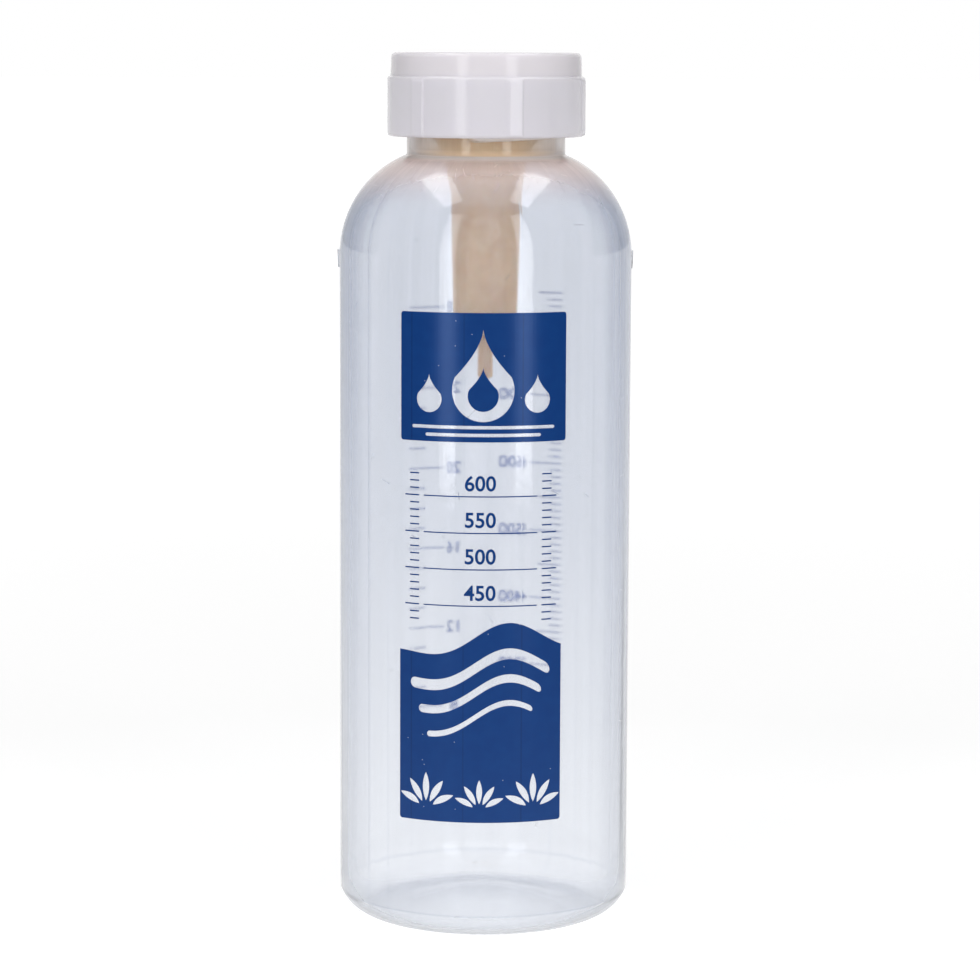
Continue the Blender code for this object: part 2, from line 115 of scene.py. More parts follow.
def as_object(name, bm):
    """Puts what bm holds into the scene as an object."""
    mesh = bpy.data.meshes.new(name)
    bm.to_mesh(mesh)
    bm.free()
    obj = bpy.data.objects.new(name, mesh)
    bpy.context.scene.collection.objects.link(obj)
    return obj


def turned(name, outline, angles, closed=False, shift=None, base=0.0):
    """A turned mesh: an outline in radius and height, swept round Z. Its outer side runs from top to bottom.

    shift gives how far the skin moves outwards at an angle in degrees, a radius and a height. Heights are measured
    up from base.
    """
    bm = bmesh.new()
    last = len(outline) - 1
    rings = []
    for index, (radius, height) in enumerate(outline):
        before = outline[index - 1] if index or closed else outline[0]
        after = outline[(index + 1) % (last + 1)] if index < last or closed else outline[last]
        along = Vector((after[0] - before[0], after[1] - before[1])).normalized()
        ring = []
        for angle in (angles if radius > 1e-6 else [0.0]):
            out = shift(angle, radius, height) if shift else 0.0
            reach, up = radius - along.y * out, base + height + along.x * out
            turn = math.radians(angle)
            ring.append(bm.verts.new((reach * math.cos(turn), reach * math.sin(turn), up)))
        rings.append(ring)
    pairs = list(zip(rings, rings[1:])) + ([(rings[-1], rings[0])] if closed else [])
    for first, second in pairs:
        for index in range(len(angles)):
            other = (index + 1) % len(angles)
            corners = [first[index % len(first)], second[index % len(second)]]
            corners += [second[other % len(second)], first[other % len(first)]]
            bm.faces.new([vert for place, vert in enumerate(corners) if vert not in corners[:place]])
    return as_object(name, bm)


def combine(obj, others, operation, sharp=32.0):
    """Cuts the others out of obj, or joins them to it, and shades the result smooth between its sharp edges."""
    for other in others:
        change = obj.modifiers.new("Combine", "BOOLEAN")
        change.operation = operation
        change.solver = "EXACT"
        change.object = other
    graph = bpy.context.evaluated_depsgraph_get()
    mesh = bpy.data.meshes.new_from_object(obj.evaluated_get(graph))
    obj.modifiers.clear()
    obj.data = mesh
    for other in others:
        bpy.data.objects.remove(other, do_unlink=True)
    mesh.shade_smooth()
    mesh.set_sharp_from_angle(angle=math.radians(sharp))
    return obj


def solid(name, bm):
    """A loose solid for combine, its faces turned outwards."""
    bmesh.ops.recalc_face_normals(bm, faces=bm.faces)
    return as_object(name, bm)


def lofted(name, sections):
    """A solid through a row of sections with equal counts of points, closed at both ends."""
    bm = bmesh.new()
    rings = [[bm.verts.new(point) for point in section] for section in sections]
    for first, second in zip(rings, rings[1:]):
        for index in range(len(first)):
            other = (index + 1) % len(first)
            bm.faces.new((first[index], first[other], second[other], second[index]))
    bm.faces.new(rings[0])
    bm.faces.new(rings[-1][::-1])
    return solid(name, bm)


def block(name, left, right, half, low, high):
    """A square-cornered block along X, half wide to each side of it."""
    corners = ((-half, low), (half, low), (half, high), (-half, high))
    return lofted(name, [[(x, y, up) for y, up in corners] for x in (left, right)])


def thread(name, root, crest, start, bottom, turns):
    """A right-hand screw ridge with rounded corners, sunk into its wall and running out at both ends."""
    outwards = 1.0 if crest > root else -1.0
    depth = abs(crest - root)
    steps = round(turns * 90)
    upper = [(1.0, 0.6), (0.85, 1), (0.0, 1), (-0.2, 1)]
    profile = [(part, -side) for part, side in upper[::-1]] + upper
    sections = []
    for step, turn in enumerate(spread(0.0, turns, steps)):
        rise = math.sin(math.pi / 2 * min(1.0, 0.12 + min(step, steps - step) / 7))
        angle = math.radians(start + 360 * turn)
        section = []
        for part, side in profile:
            radius = root + outwards * depth * (part * rise if part > 0 else part)
            half = THREAD_CREST / 2 + THREAD_SLOPE * depth * (1 - part)
            height = bottom + THREAD_PITCH * turn + side * half
            section.append((radius * math.cos(angle), radius * math.sin(angle), height))
        sections.append(section)
    return lofted(name, sections)


heel_reach = math.sqrt(HEEL_RADIUS ** 2 - (HEEL_RADIUS - CREASE_HEIGHT) ** 2)


def rounded(before, corner, after, radius, steps):
    """Points of the arc that rounds off a corner between two straight runs, in the radius and height plane."""
    first = (Vector(before) - Vector(corner)).normalized()
    second = (Vector(after) - Vector(corner)).normalized()
    half = first.angle(second) / 2
    centre = Vector(corner) + (first + second).normalized() * radius / math.sin(half)
    start = Vector(corner) + first * radius / math.tan(half) - centre
    end = Vector(corner) + second * radius / math.tan(half) - centre
    sweep = [(start * (1 - share) + end * share).normalized() * radius for share in spread(0.0, 1.0, steps)]
    return [tuple(centre + point) for point in sweep]


foot_outer = BODY_RADIUS - heel_reach
foot_inner = foot_outer - FOOT_WIDTH
shoulder_centre = (BODY_RADIUS - SHOULDER_RADIUS, BODY_TOP)
heel_centre = (foot_outer, HEEL_RADIUS)
heel_inside = HEEL_RADIUS - BODY_WALL
shoulder_inside = SHOULDER_RADIUS - BODY_WALL
inner_crease = -math.degrees(math.acos((heel_reach - BODY_WALL) / heel_inside))
crease = -math.degrees(math.acos(heel_reach / HEEL_RADIUS))
inner_neck = math.degrees(math.acos((NECK_BORE - shoulder_centre[0]) / shoulder_inside))
outer_neck = math.degrees(math.acos((NECK_RADIUS - shoulder_centre[0]) / SHOULDER_RADIUS))
neck_foot = BODY_TOP + SHOULDER_RADIUS * math.sin(math.radians(outer_neck))
rim_inner = (NECK_BORE + RIM_ROUND, RIM_TOP - RIM_ROUND)
rim_outer = (NECK_RADIUS - RIM_ROUND, RIM_TOP - RIM_ROUND)

punt = [(foot_inner * share, PUNT_HEIGHT * (1 - share ** 2) ** 1.5) for share in spread(0.0, 1.0, 24)]
outline = [(radius, height + BODY_WALL) for radius, height in punt]
outline += arc(heel_centre, heel_inside, -90, inner_crease, 12)
outline += [(BODY_RADIUS - BODY_WALL, height) for height in spread(CREASE_HEIGHT + 0.004, BODY_TOP - 0.004, 22)]
inside = arc(shoulder_centre, shoulder_inside, 0, inner_neck, 60)
bore_corner = inside[-1]
outline += [point for point in inside if math.dist(point, bore_corner) > BORE_FILLET * 0.85]
outline += rounded(inside[-4], bore_corner, (NECK_BORE, RIM_TOP), BORE_FILLET, 8)
outline += arc(rim_inner, RIM_ROUND, 180, 90, 4)
outline += arc(rim_outer, RIM_ROUND, 90, 0, 4)
outside = arc(shoulder_centre, SHOULDER_RADIUS, outer_neck, 0, 60)
outline += rounded((NECK_RADIUS, RIM_TOP), outside[0], outside[3], NECK_FILLET, 5)
outline += [point for point in outside if math.dist(point, outside[0]) > NECK_FILLET * 0.6]
outline += [(BODY_RADIUS, height) for height in spread(BODY_TOP - 0.004, CREASE_HEIGHT + 0.004, 22)]
outline += [(BODY_RADIUS, CREASE_HEIGHT + 0.0003), (BODY_RADIUS - 0.00016, CREASE_HEIGHT)]
outline += arc(heel_centre, HEEL_RADIUS, crease - 2, -90, 14)
outline += punt[::-1]


def blown_skin(angle, radius, height):
    """How a blown wall strays from true: slow waves in its thickness, and lines drawn by the die."""
    if height > neck_foot or height < CREASE_HEIGHT or radius < NECK_RADIUS:
        return 0.0
    inside = radius < BODY_RADIUS - BODY_WALL / 2 if height < BODY_TOP else (
        math.dist((radius, height), shoulder_centre) < SHOULDER_RADIUS - BODY_WALL / 2
    )
    turn = math.radians(angle)
    fade = min(1.0, (height - CREASE_HEIGHT) / 0.02, (neck_foot - height) / 0.012)
    if inside:
        slow = math.sin(5 * turn + 18 * height) + 0.7 * math.sin(9 * turn - 11 * height + 1.3)
        quick = 0.45 * math.sin(23 * turn + 9 * height + 0.4) + 0.3 * math.sin(41 * turn - 14 * height)
        return fade * BORE_WAVE * (slow + quick)
    slow = 0.5 + 0.5 * math.sin(3 * turn + 31 * height + 0.8) * math.sin(4 * turn - 23 * height)
    lines = 0.0
    for place, depth in DIE_LINES:
        off = (angle - FRONT - place + 180) % 360 - 180
        lines += DIE_LINE_PROUD * depth * math.exp(-((off / DIE_LINE_WIDTH) ** 2))
    return fade * (lines - SKIN_WAVE * slow)


angles = round_steps(BODY_SIDES, [FRONT + place for place, depth in DIE_LINES])
bottle = turned("bottle_wall", outline, angles, shift=blown_skin)

ridge = thread("ridge", NECK_RADIUS, THREAD_CREST_RADIUS, NECK_THREAD_START, NECK_THREAD_BOTTOM, NECK_THREAD_TURNS)
added = [ridge]
for side in (-1, 1):
    bm = bmesh.new()
    bmesh.ops.create_cube(bm, size=1.0)
    for vert in bm.verts:
        upper = vert.co.z > 0
        proud = LUG_PROUD if upper else LUG_FOOT_PROUD
        vert.co.x = side * (BODY_RADIUS + (proud if vert.co.x > 0 else -LUG_ROOT))
        vert.co.y *= LUG_WIDTH
        vert.co.z = LUG_TOP if upper else LUG_TOP - LUG_HEIGHT
    outer = [edge for edge in bm.edges if all(abs(vert.co.x) > BODY_RADIUS for vert in edge.verts)]
    bmesh.ops.bevel(bm, geom=outer, offset=LUG_EDGE, segments=2, profile=0.5, affect="EDGES")
    added.append(solid("lug", bm))

# The weld that the mould pinches across the base stands a little proud of the raised middle
PINCH_WIDTH = 0.0011
PINCH_PROUD = 0.0004
PINCH_ROOT = 0.0004
PINCH_INSET = 0.003
sections = []
for along in spread(-foot_inner + PINCH_INSET, foot_inner - PINCH_INSET, 26):
    roof = PUNT_HEIGHT * (1 - (along / foot_inner) ** 2) ** 1.5
    low, half = roof - PINCH_PROUD, PINCH_WIDTH / 2
    sections.append([
        (along, -half, roof + PINCH_ROOT), (along, -half, roof), (along, -half / 2, low),
        (along, half / 2, low), (along, half, roof), (along, half, roof + PINCH_ROOT),
    ])
added.append(lofted("pinch", sections))
combine(bottle, added, "UNION", sharp=38.0)


def linear(code):
    """An sRGB colour written as six hex digits, as linear red, green, blue and 1."""
    channels = [int(code[place:place + 2], 16) / 255 for place in (0, 2, 4)]
    return tuple([c / 12.92 if c <= 0.04045 else ((c + 0.055) / 1.055) ** 2.4 for c in channels] + [1.0])


def add_node(tree, kind, inputs=(), operation=None, stops=(), **settings):
    """Adds a node and returns its outputs.

    inputs are its sockets' values or what feeds them, in order or by name. A node's outputs stand for the first of
    them. stops are the places and colours of a ramp, and settings are the node's other properties.
    """
    node = tree.nodes.new("ShaderNode" + kind)
    if operation:
        node.operation = operation
    for name, value in settings.items():
        setattr(node, name, value)
    for index, (place, colour) in enumerate(stops):
        ramp = node.color_ramp.elements
        stop = ramp[index] if index < 2 else ramp.new(place)
        stop.position, stop.color = place, colour
    for socket, value in inputs.items() if isinstance(inputs, dict) else enumerate(inputs):
        if isinstance(value, bpy.types.bpy_prop_collection):
            value = value[0]
        if isinstance(value, bpy.types.NodeSocket):
            tree.links.new(value, node.inputs[socket])
        else:
            node.inputs[socket].default_value = value
    return node.outputs


def new_material(name):
    """A material with nothing in its tree, and add_node for that tree."""
    material = bpy.data.materials.new(name)
    material.use_nodes = True
    material.node_tree.nodes.clear()
    return material, partial(add_node, material.node_tree)


def around(add, radius):
    """Where a point lies on a round wall: metres round the wall and its height, as one vector, and the height."""
    x, y, z = add("SeparateXYZ", [add("TexCoord")["Object"]])
    turn = add("Math", (y, x), "ARCTAN2")
    length = add("Math", (turn, radius), "MULTIPLY")
    return add("CombineXYZ", (length, z)), z


# Natural polypropylene straight from the blow mould: clear, with a blue-grey haze that deepens where the eye
# looks along the wall, drawn lengthwise into fine streaks by the die, glossy and a little scuffed. The inputs of
# a Map Range node are its value, the two ends that the value runs between, and what they are turned into.
PLASTIC_IOR = 1.49
DIE_STREAK = 0.0008
DIE_BAND = 0.005
BLOW_RIPPLE = 0.012
DRAWN_OUT = (1.0, 0.012, 1.0)
blown, add = new_material("blown_natural_polypropylene")
wall_place, height = around(add, BODY_RADIUS)
drawn = add("VectorMath", (wall_place, DRAWN_OUT), "MULTIPLY")
streaks, bands, ripples = [
    add("TexNoise", {
        "Vector": place, "Scale": 1 / size, "Detail": detail, "Roughness": roughness, "Distortion": distortion,
    }, noise_dimensions="2D")
    for place, size, detail, roughness, distortion in (
        (drawn, DIE_STREAK, 3.0, 0.6, 0.0), (drawn, DIE_BAND, 2.0, 0.5, 0.0),
        (wall_place, BLOW_RIPPLE, 2.0, 0.5, 0.6),
    )
]
on_wall = add("MapRange", (height, CREASE_HEIGHT - 0.002, CREASE_HEIGHT + 0.004))
streak_strength = add("MapRange", (height, 0.190, 0.205, 0.2, 0.04))
streak_strength = add("Math", (streak_strength, on_wall), "MULTIPLY")
bump = add("Bump", {"Height": streaks, "Strength": streak_strength, "Distance": 0.00002})
bump = add("Bump", {"Height": ripples, "Strength": 0.14, "Distance": 0.0002, "Normal": bump})
facing = add("LayerWeight", {"Blend": 0.5})["Facing"]
sideways = add("MapRange", (facing, 0.3, 0.95), interpolation_type="SMOOTHSTEP")

# The share of haze low on the wall, and at the height where it stops rising, seen head on and from the side
HAZE_BOTTOM = 0.03
PLAIN_HAZE = (0.110, 0.066, 0.131)
SIDE_HAZE = (0.170, 0.50, 0.70)
plain, side = [
    add("MapRange", (height, HAZE_BOTTOM, full_height, low_share, high_share))
    for full_height, low_share, high_share in (PLAIN_HAZE, SIDE_HAZE)
]
haze = add("Math", (sideways, side, plain), "MULTIPLY_ADD")
fine = add("MapRange", (streaks, 0.3, 0.7, 0.92, 1.08))
broad = add("MapRange", (bands, 0.3, 0.7, 0.90, 1.10))
uneven = add("Math", (fine, broad), "MULTIPLY")
uneven = add("Mix", {0: on_wall, 2: 1.0, 3: uneven})
haze = add("Math", (haze, uneven), "MULTIPLY")

# Painted shade: the die's scored lines and the crease over the heel turn light away, so the clear tint is painted
# darker along them than on the wall beside them
CLEAR_TINT = (0.980, 0.987, 1.0, 1.0)
LINE_SHADE_TINT = (0.62, 0.67, 0.76, 1.0)
DIE_LINE_REACH = 0.00032
DIE_LINE_SHADE = 0.24
CREASE_REACH = 0.0004
CREASE_SHADE = 0.24


def line_at(add, value, middle, reach, depth):
    """A soft line: depth where value is the middle, and 0 from reach away."""
    off = add("Math", (value, middle), "SUBTRACT")
    off = add("Math", [off], "ABSOLUTE")
    return add("MapRange", (off, 0.0, reach, depth, 0.0))


turn = add("SeparateXYZ", [wall_place])["X"]
painted_line_shade = line_at(add, height, CREASE_HEIGHT, CREASE_REACH, CREASE_SHADE)
for place, depth in DIE_LINES:
    middle = math.radians((FRONT + place + 180) % 360 - 180) * BODY_RADIUS
    line = line_at(add, turn, middle, DIE_LINE_REACH, DIE_LINE_SHADE * depth)
    painted_line_shade = add("Math", (painted_line_shade, line), "MAXIMUM")
clear_tint_and_line_shade = add("Mix", {0: painted_line_shade, 6: CLEAR_TINT, 7: LINE_SHADE_TINT}, data_type="RGBA")[2]


def scratches(add, place, spacing, chance, length, width):
    """Short straight scratches at odd angles, at most one to a cell of the spacing: 1 on a scratch, 0 beside it."""
    cells = add("TexVoronoi", {"Vector": place, "Scale": 1 / spacing, "Randomness": 0.9}, voronoi_dimensions="2D")
    luck = add("SeparateColor", [cells["Color"]])
    off = add("VectorMath", (place, cells["Position"]), "SUBTRACT")
    turn = add("Math", (luck["Red"], math.pi), "MULTIPLY")
    off = add("VectorRotate", {"Vector": off, "Angle": turn}, rotation_type="Z_AXIS")
    off = add("VectorMath", [off], "ABSOLUTE")
    off = add("SeparateXYZ", [off])
    reach = add("Math", (luck["Green"], length / 2), "MULTIPLY")
    mark = add("Math", (luck["Blue"], chance), "LESS_THAN")
    for way, limit in ((off["X"], width / 2), (off["Y"], reach)):
        near = add("Math", (way, limit), "LESS_THAN")
        mark = add("Math", (mark, near), "MULTIPLY")
    return mark


# Knocks leave short pale scratches, close together on the shoulder and few on the body
wall_marks = scratches(add, wall_place, spacing=0.010, chance=0.13, length=0.0050, width=0.00016)
marks = scratches(add, wall_place, spacing=0.0034, chance=0.30, length=0.0034, width=0.00014)
top = add("Math", (height, neck_foot - 0.0050, 0.0045), "COMPARE")
marks = add("Math", (marks, top, wall_marks), "MULTIPLY_ADD")

# The heel, the shoulder's top, the neck and its thread are thicker and so cloudier; near the neck this haze also
# carries the painted glow of the rubber behind
NECK_BLEND_REACH = 0.0017
shoulder_zone, neck_zone, heel_zone = [
    add("MapRange", (height, start, end), interpolation_type="SMOOTHSTEP") for start, end in (
        (neck_foot - 0.0165, neck_foot - 0.0015), (neck_foot - 0.0016, neck_foot + 0.0004),
        (HEEL_RADIUS + 0.004, 0.002),
    )
]
heel_edge = add("Math", (sideways, heel_zone), "MULTIPLY")
neck_blend = line_at(add, height, neck_foot, NECK_BLEND_REACH, 1.0)
spot = add("TexCoord")["Object"]
flat = add("VectorMath", (spot, (1.0, 1.0, 0.0)), "MULTIPLY")
reach = add("VectorMath", [flat], "LENGTH")["Value"]
proud = add("MapRange", (reach, NECK_RADIUS + 0.0002, NECK_RADIUS + 0.0012))
on_thread = add("Math", (proud, neck_zone), "MULTIPLY")
for part, share in (
    (marks, 0.25), (shoulder_zone, 0.21), (neck_zone, 0.04), (heel_zone, 0.02), (heel_edge, 0.45),
    (neck_blend, 0.50), (on_thread, 0.80),
):
    haze = add("Math", (part, share, haze), "MULTIPLY_ADD", use_clamp=True)

# Its colour: blue-grey low on the wall, deeper above and near white at the heel. The pink to cream towards the neck
# is painted light: the glow of the lit tan rubber behind the shoulder and neck, standing in for light that the
# ring's shadow keeps from it
rising = add("MapRange", (height, HAZE_BOTTOM, 0.17))
neck_side = add("MapRange", (facing, 0.05, 0.55))
neck_side = add("Math", (neck_side, neck_zone), "MULTIPLY")
haze_and_glow_colour = linear("DADFEA")
for part, tone in (
    (rising, "B2BED7"), (heel_zone, "ECEFF5"), (shoulder_zone, "F2DFDA"), (neck_zone, "F8DCBA"),
    (neck_side, "F8F2F0"), (on_thread, "F8F3F0"),
):
    haze_and_glow_colour = add("Mix", {0: part, 6: haze_and_glow_colour, 7: linear(tone)}, data_type="RGBA")[2]

# The wall blurs what is seen through it, more so at the heel and the sides. Lamps shine through all but a tenth.
BLUR, HEEL_BLUR, SIDE_BLUR = 0.09, 0.08, 0.14
BACK_SHARE, SHOULDER_BACK_SHARE = 0.5, 0.2
POLISH, SHOULDER_POLISH = 0.06, 0.09
LAMP_SHARE = 0.9
blur = add("Math", (heel_zone, HEEL_BLUR, BLUR), "MULTIPLY_ADD")
blur = add("Math", (sideways, SIDE_BLUR, blur), "MULTIPLY_ADD")
back_share = add("MapRange", (shoulder_zone, 0.0, 1.0, BACK_SHARE, SHOULDER_BACK_SHARE))
polish = add("MapRange", (shoulder_zone, 0.0, 1.0, POLISH, SHOULDER_POLISH))
clear = add("BsdfRefraction", {"Color": clear_tint_and_line_shade, "Roughness": blur, "IOR": PLASTIC_IOR, "Normal": bump})
front = add("BsdfDiffuse", {"Color": haze_and_glow_colour, "Normal": bump})
back = add("BsdfTranslucent", {"Color": haze_and_glow_colour, "Normal": bump})
gloss = add("BsdfGlossy", {"Color": (1.0, 1.0, 1.0, 1.0), "Roughness": polish, "Normal": bump})
cloud = add("MixShader", (back_share, front, back))
body = add("MixShader", (haze, clear, cloud))
fresnel = add("Fresnel", {"IOR": PLASTIC_IOR, "Normal": bump})
skin = add("MixShader", (fresnel, body, gloss))
shadow = add("LightPath")["Is Shadow Ray"]
through = add("Math", (shadow, LAMP_SHARE), "MULTIPLY")
skin = add("MixShader", (through, skin, add("BsdfTransparent")))
add("OutputMaterial", [skin])
bottle.data.materials.append(blown)
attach(bottle, "bottle")
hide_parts("bottle")

# The printing
# One colour of screen ink, laid on the outside of the body: two solid panels with a scale of plain numbers
# between them on the front, and a ruled measuring scale on the back. Every mark is a thin layer of ink.
INK_THICKNESS = 0.00004
INK_RADIUS = BODY_RADIUS + 0.00002
UPPER_SHIFT = -0.0005
LOWER_SHIFT = -0.0012
UPPER_HALF = 0.0236
LOWER_HALF = 0.0232
UPPER_TOP = 0.1735
UPPER_BOTTOM = 0.1385
LOWER_TOP = 0.0835
LOWER_BOTTOM = 0.0336
PANEL_CORNER = 0.0008
INK_STRIP = 0.001


def layer(name, loops, front, shift=0.0):
    """A layer of ink on the body. Each loop is an outline, across and up, and a loop inside another is a gap."""
    curve = bpy.data.curves.new(name, "CURVE")
    curve.dimensions = "2D"
    curve.fill_mode = "BOTH"
    curve.extrude = INK_THICKNESS / 2
    for loop in loops:
        spline = curve.splines.new("POLY")
        spline.points.add(len(loop) - 1)
        for point, (across, up) in zip(spline.points, loop):
            point.co = (across + shift, up, 0.0, 1.0)
        spline.use_cyclic_u = True
    return wrapped(name, curve, front)


def wrapped(name, curve, front):
    """A flat curve or text as a mesh, cut into narrow strips and bent round the body."""
    flat = bpy.data.objects.new(name, curve)
    bpy.context.scene.collection.objects.link(flat)
    graph = bpy.context.evaluated_depsgraph_get()
    mesh = bpy.data.meshes.new_from_object(flat.evaluated_get(graph))
    bpy.data.objects.remove(flat, do_unlink=True)
    bm = bmesh.new()
    bm.from_mesh(mesh)
    bmesh.ops.remove_doubles(bm, verts=bm.verts, dist=0.000002)
    low = min(vert.co.x for vert in bm.verts)
    high = max(vert.co.x for vert in bm.verts)
    for strip in range(math.ceil(low / INK_STRIP), math.floor(high / INK_STRIP) + 1):
        whole = list(bm.verts) + list(bm.edges) + list(bm.faces)
        bmesh.ops.bisect_plane(bm, geom=whole, plane_co=(strip * INK_STRIP, 0, 0), plane_no=(1, 0, 0), dist=1e-7)
    for vert in bm.verts:
        turn = math.radians(front) + vert.co.x / BODY_RADIUS
        radius = INK_RADIUS + INK_THICKNESS / 2 + vert.co.z
        vert.co = (radius * math.cos(turn), radius * math.sin(turn), vert.co.y)
    bpy.data.meshes.remove(mesh)
    return as_object(name, bm)


def rounded_box(left, bottom, right, top, corner):
    """A rectangle with round corners, as a loop."""
    loop = []
    for across, up, start in ((right, top, 0), (left, top, 90), (left, bottom, 180), (right, bottom, 270)):
        inwards = (-corner if across == right else corner, -corner if up == top else corner)
        loop += arc((across + inwards[0], up + inwards[1]), corner, start, start + 90, 6)
    return loop


def drop(across, up, half, height):
    """A drop of milk, round below and drawn to a point above, as a loop. up is the middle of its round part."""
    loop = arc((across, up), half, 180 - 25, 360 + 25, 28)
    shoulder = loop[-1]
    tip = (across, up + height - half)
    for share in spread(0.15, 1.0, 6):
        bend = (1 - share) ** 1.6
        loop.append((across + (shoulder[0] - across) * bend, shoulder[1] + (tip[1] - shoulder[1]) * share))
    return loop + [(2 * across - x, y) for x, y in reversed(loop[-7:-1])]


def band(left, right, middle, thickness, line):
    """A band with round ends that follows a line, as a loop."""
    reach = thickness / 2
    caps = [reach * (1 - math.cos(turn)) for turn in spread(0.15, math.pi / 2, 6)]
    places = [left + cap for cap in caps] + spread(left + reach, right - reach, 40)[1:-1]
    places += [right - cap for cap in caps[::-1]]
    ends = [min(1.0, (place - left) / reach, (right - place) / reach) for place in places]
    half = [reach * math.sqrt(1 - (1 - end) ** 2) for end in ends]
    upper = [(place, middle + line(place) + size) for place, size in zip(places, half)]
    lower = [(place, middle + line(place) - size) for place, size in zip(places, half)]
    return upper + lower[::-1]


def hills(across):
    """The swell that the lower panel's top edge and its bands follow."""
    return 0.0042 * math.sin(across / 0.0095 + 0.6) + 0.0014 * math.sin(across / 0.0047)


upper_loops = [rounded_box(-UPPER_HALF, UPPER_BOTTOM, UPPER_HALF, UPPER_TOP, PANEL_CORNER)]
for place in (
    (0.0, 0.1525, 0.0085, 0.0250), (0.0, 0.1510, 0.0042, 0.0120), (-0.0150, 0.1500, 0.0036, 0.0104),
    (0.0150, 0.1500, 0.0036, 0.0104),
):
    upper_loops.append(drop(*place))
for row in range(2):
    half = 0.0200 - 0.004 * row
    upper_loops.append(band(-half, half, 0.1425 - 0.0021 * row, 0.0009, lambda across: 0.0))
ink = [layer("upper_panel_print", upper_loops, FRONT, UPPER_SHIFT)]

top_edge = [(place, LOWER_TOP + hills(place)) for place in spread(LOWER_HALF, -LOWER_HALF, 60)]
foot = rounded_box(-LOWER_HALF, LOWER_BOTTOM, LOWER_HALF, LOWER_TOP, PANEL_CORNER)
lower_loops = [top_edge + foot[14:]]
for row in range(3):
    inset = 0.0035 + 0.0025 * row
    lower_loops.append(band(
        -LOWER_HALF + inset, LOWER_HALF - inset, LOWER_TOP - 0.0085 - 0.0068 * row, 0.0030 - 0.0007 * row, hills
    ))


def blade(centre, lean, near, far, width):
    """One blade of grass in a tuft round the centre, leaning by degrees, from near to far of it, as a loop."""
    turn = math.radians(90 - lean)
    along, beside = Vector((math.cos(turn), math.sin(turn))), Vector((math.sin(turn), -math.cos(turn)))
    sides = []
    for side in (1, -1):
        sides.append([
            Vector(centre) + along * (near + (far - near) * share)
            + beside * (side * width / 2 * math.sin(math.pi * share) ** 0.8 + lean / 90 * far * 0.25 * share ** 2)
            for share in spread(0.0, 1.0, 12)
        ])
    return [tuple(point) for point in sides[0] + sides[1][-2:0:-1]]


for across, scale in ((-0.0150, 1.0), (0.0, 0.85), (0.0150, 1.0)):
    for lean in (-52, -26, 0, 26, 52):
        far = scale * (0.0105 - 0.00003 * abs(lean))
        lower_loops.append(blade((across, LOWER_BOTTOM + 0.003), lean, 0.0026 * scale, far, 0.0019 * scale))
ink.append(layer("lower_panel_print", lower_loops, FRONT, LOWER_SHIFT))

# Each mark of a scale stands at the height that its number fills, over a level floor that stands for the raised base
FIRST_LEVEL = 0.0037
BORE_AREA = math.pi * (BODY_RADIUS - BODY_WALL) ** 2
RULE = 0.00032
TICK = 0.00036


def level(millilitres):
    """The height that so many millilitres fill."""
    return FIRST_LEVEL + millilitres * 1e-6 / BORE_AREA


def strip(left, right, up, thickness):
    """A straight mark, as a loop."""
    low, high = up - thickness / 2, up + thickness / 2
    return [(left, low), (right, low), (right, high), (left, high)]


def number(value, across, up, size, front):
    """A plain number in ink, its middle at across and its foot at up."""
    curve = bpy.data.curves.new("number", "FONT")
    curve.body = str(value)
    curve.align_x = "CENTER"
    curve.size = size
    curve.offset = size * 0.018
    curve.offset_x = across
    curve.offset_y = up
    curve.extrude = INK_THICKNESS / 2
    curve.resolution_u = 4
    return wrapped("number", curve, front)


def joined(name, objects):
    """Several meshes as one object."""
    bm = bmesh.new()
    for obj in objects:
        bm.from_mesh(obj.data)
        bpy.data.objects.remove(obj, do_unlink=True)
    return as_object(name, bm)


NUMBER_SIZE = 0.0058
NUMBER_LIFT = 0.0016
RULE_HALF = 0.0158
TICK_START = 0.0172
TICK_END = 0.0200
LONG_TICK_END = 0.0215
front_marks = []
for millilitres in range(450, 601, 50):
    at = level(millilitres)
    front_marks.append(layer("rule", [strip(-RULE_HALF, RULE_HALF, at, RULE)], FRONT, LOWER_SHIFT))
    front_marks.append(number(millilitres, LOWER_SHIFT, at + NUMBER_LIFT, NUMBER_SIZE, FRONT))
for millilitres in range(430, 631, 10):
    at = level(millilitres)
    for side in (-1, 1):
        ends = sorted((side * TICK_START, side * (TICK_END if millilitres % 50 else LONG_TICK_END)))
        front_marks.append(layer("tick", [strip(*ends, at, TICK)], FRONT, LOWER_SHIFT))
ink.append(joined("front_scale_print", front_marks))

BACK = 90.0
BACK_HALF = 0.0235
BACK_NUMBER_SIZE = 0.0048
OUNCE = 29.5735
back_marks = []
for side, unit, values, lengths, number_inset in (
    (-1, 1.0, range(150, 851, 10), ((100, 0.0105), (50, 0.0070), (10, 0.0040)), 0.0150),
    (1, OUNCE, range(6, 29), ((4, 0.0105), (1, 0.0060)), 0.0140),
):
    for value in values:
        at = level(value * unit)
        length = next(length for step, length in lengths if value % step == 0)
        ends = sorted((side * BACK_HALF, side * (BACK_HALF - length)))
        back_marks.append(layer("tick", [strip(*ends, at, TICK)], BACK))
        if value % lengths[0][0] == 0:
            place = side * (BACK_HALF - number_inset)
            back_marks.append(number(value, place, at - NUMBER_LIFT, BACK_NUMBER_SIZE, BACK))
ink.append(joined("back_scale_print", back_marks))
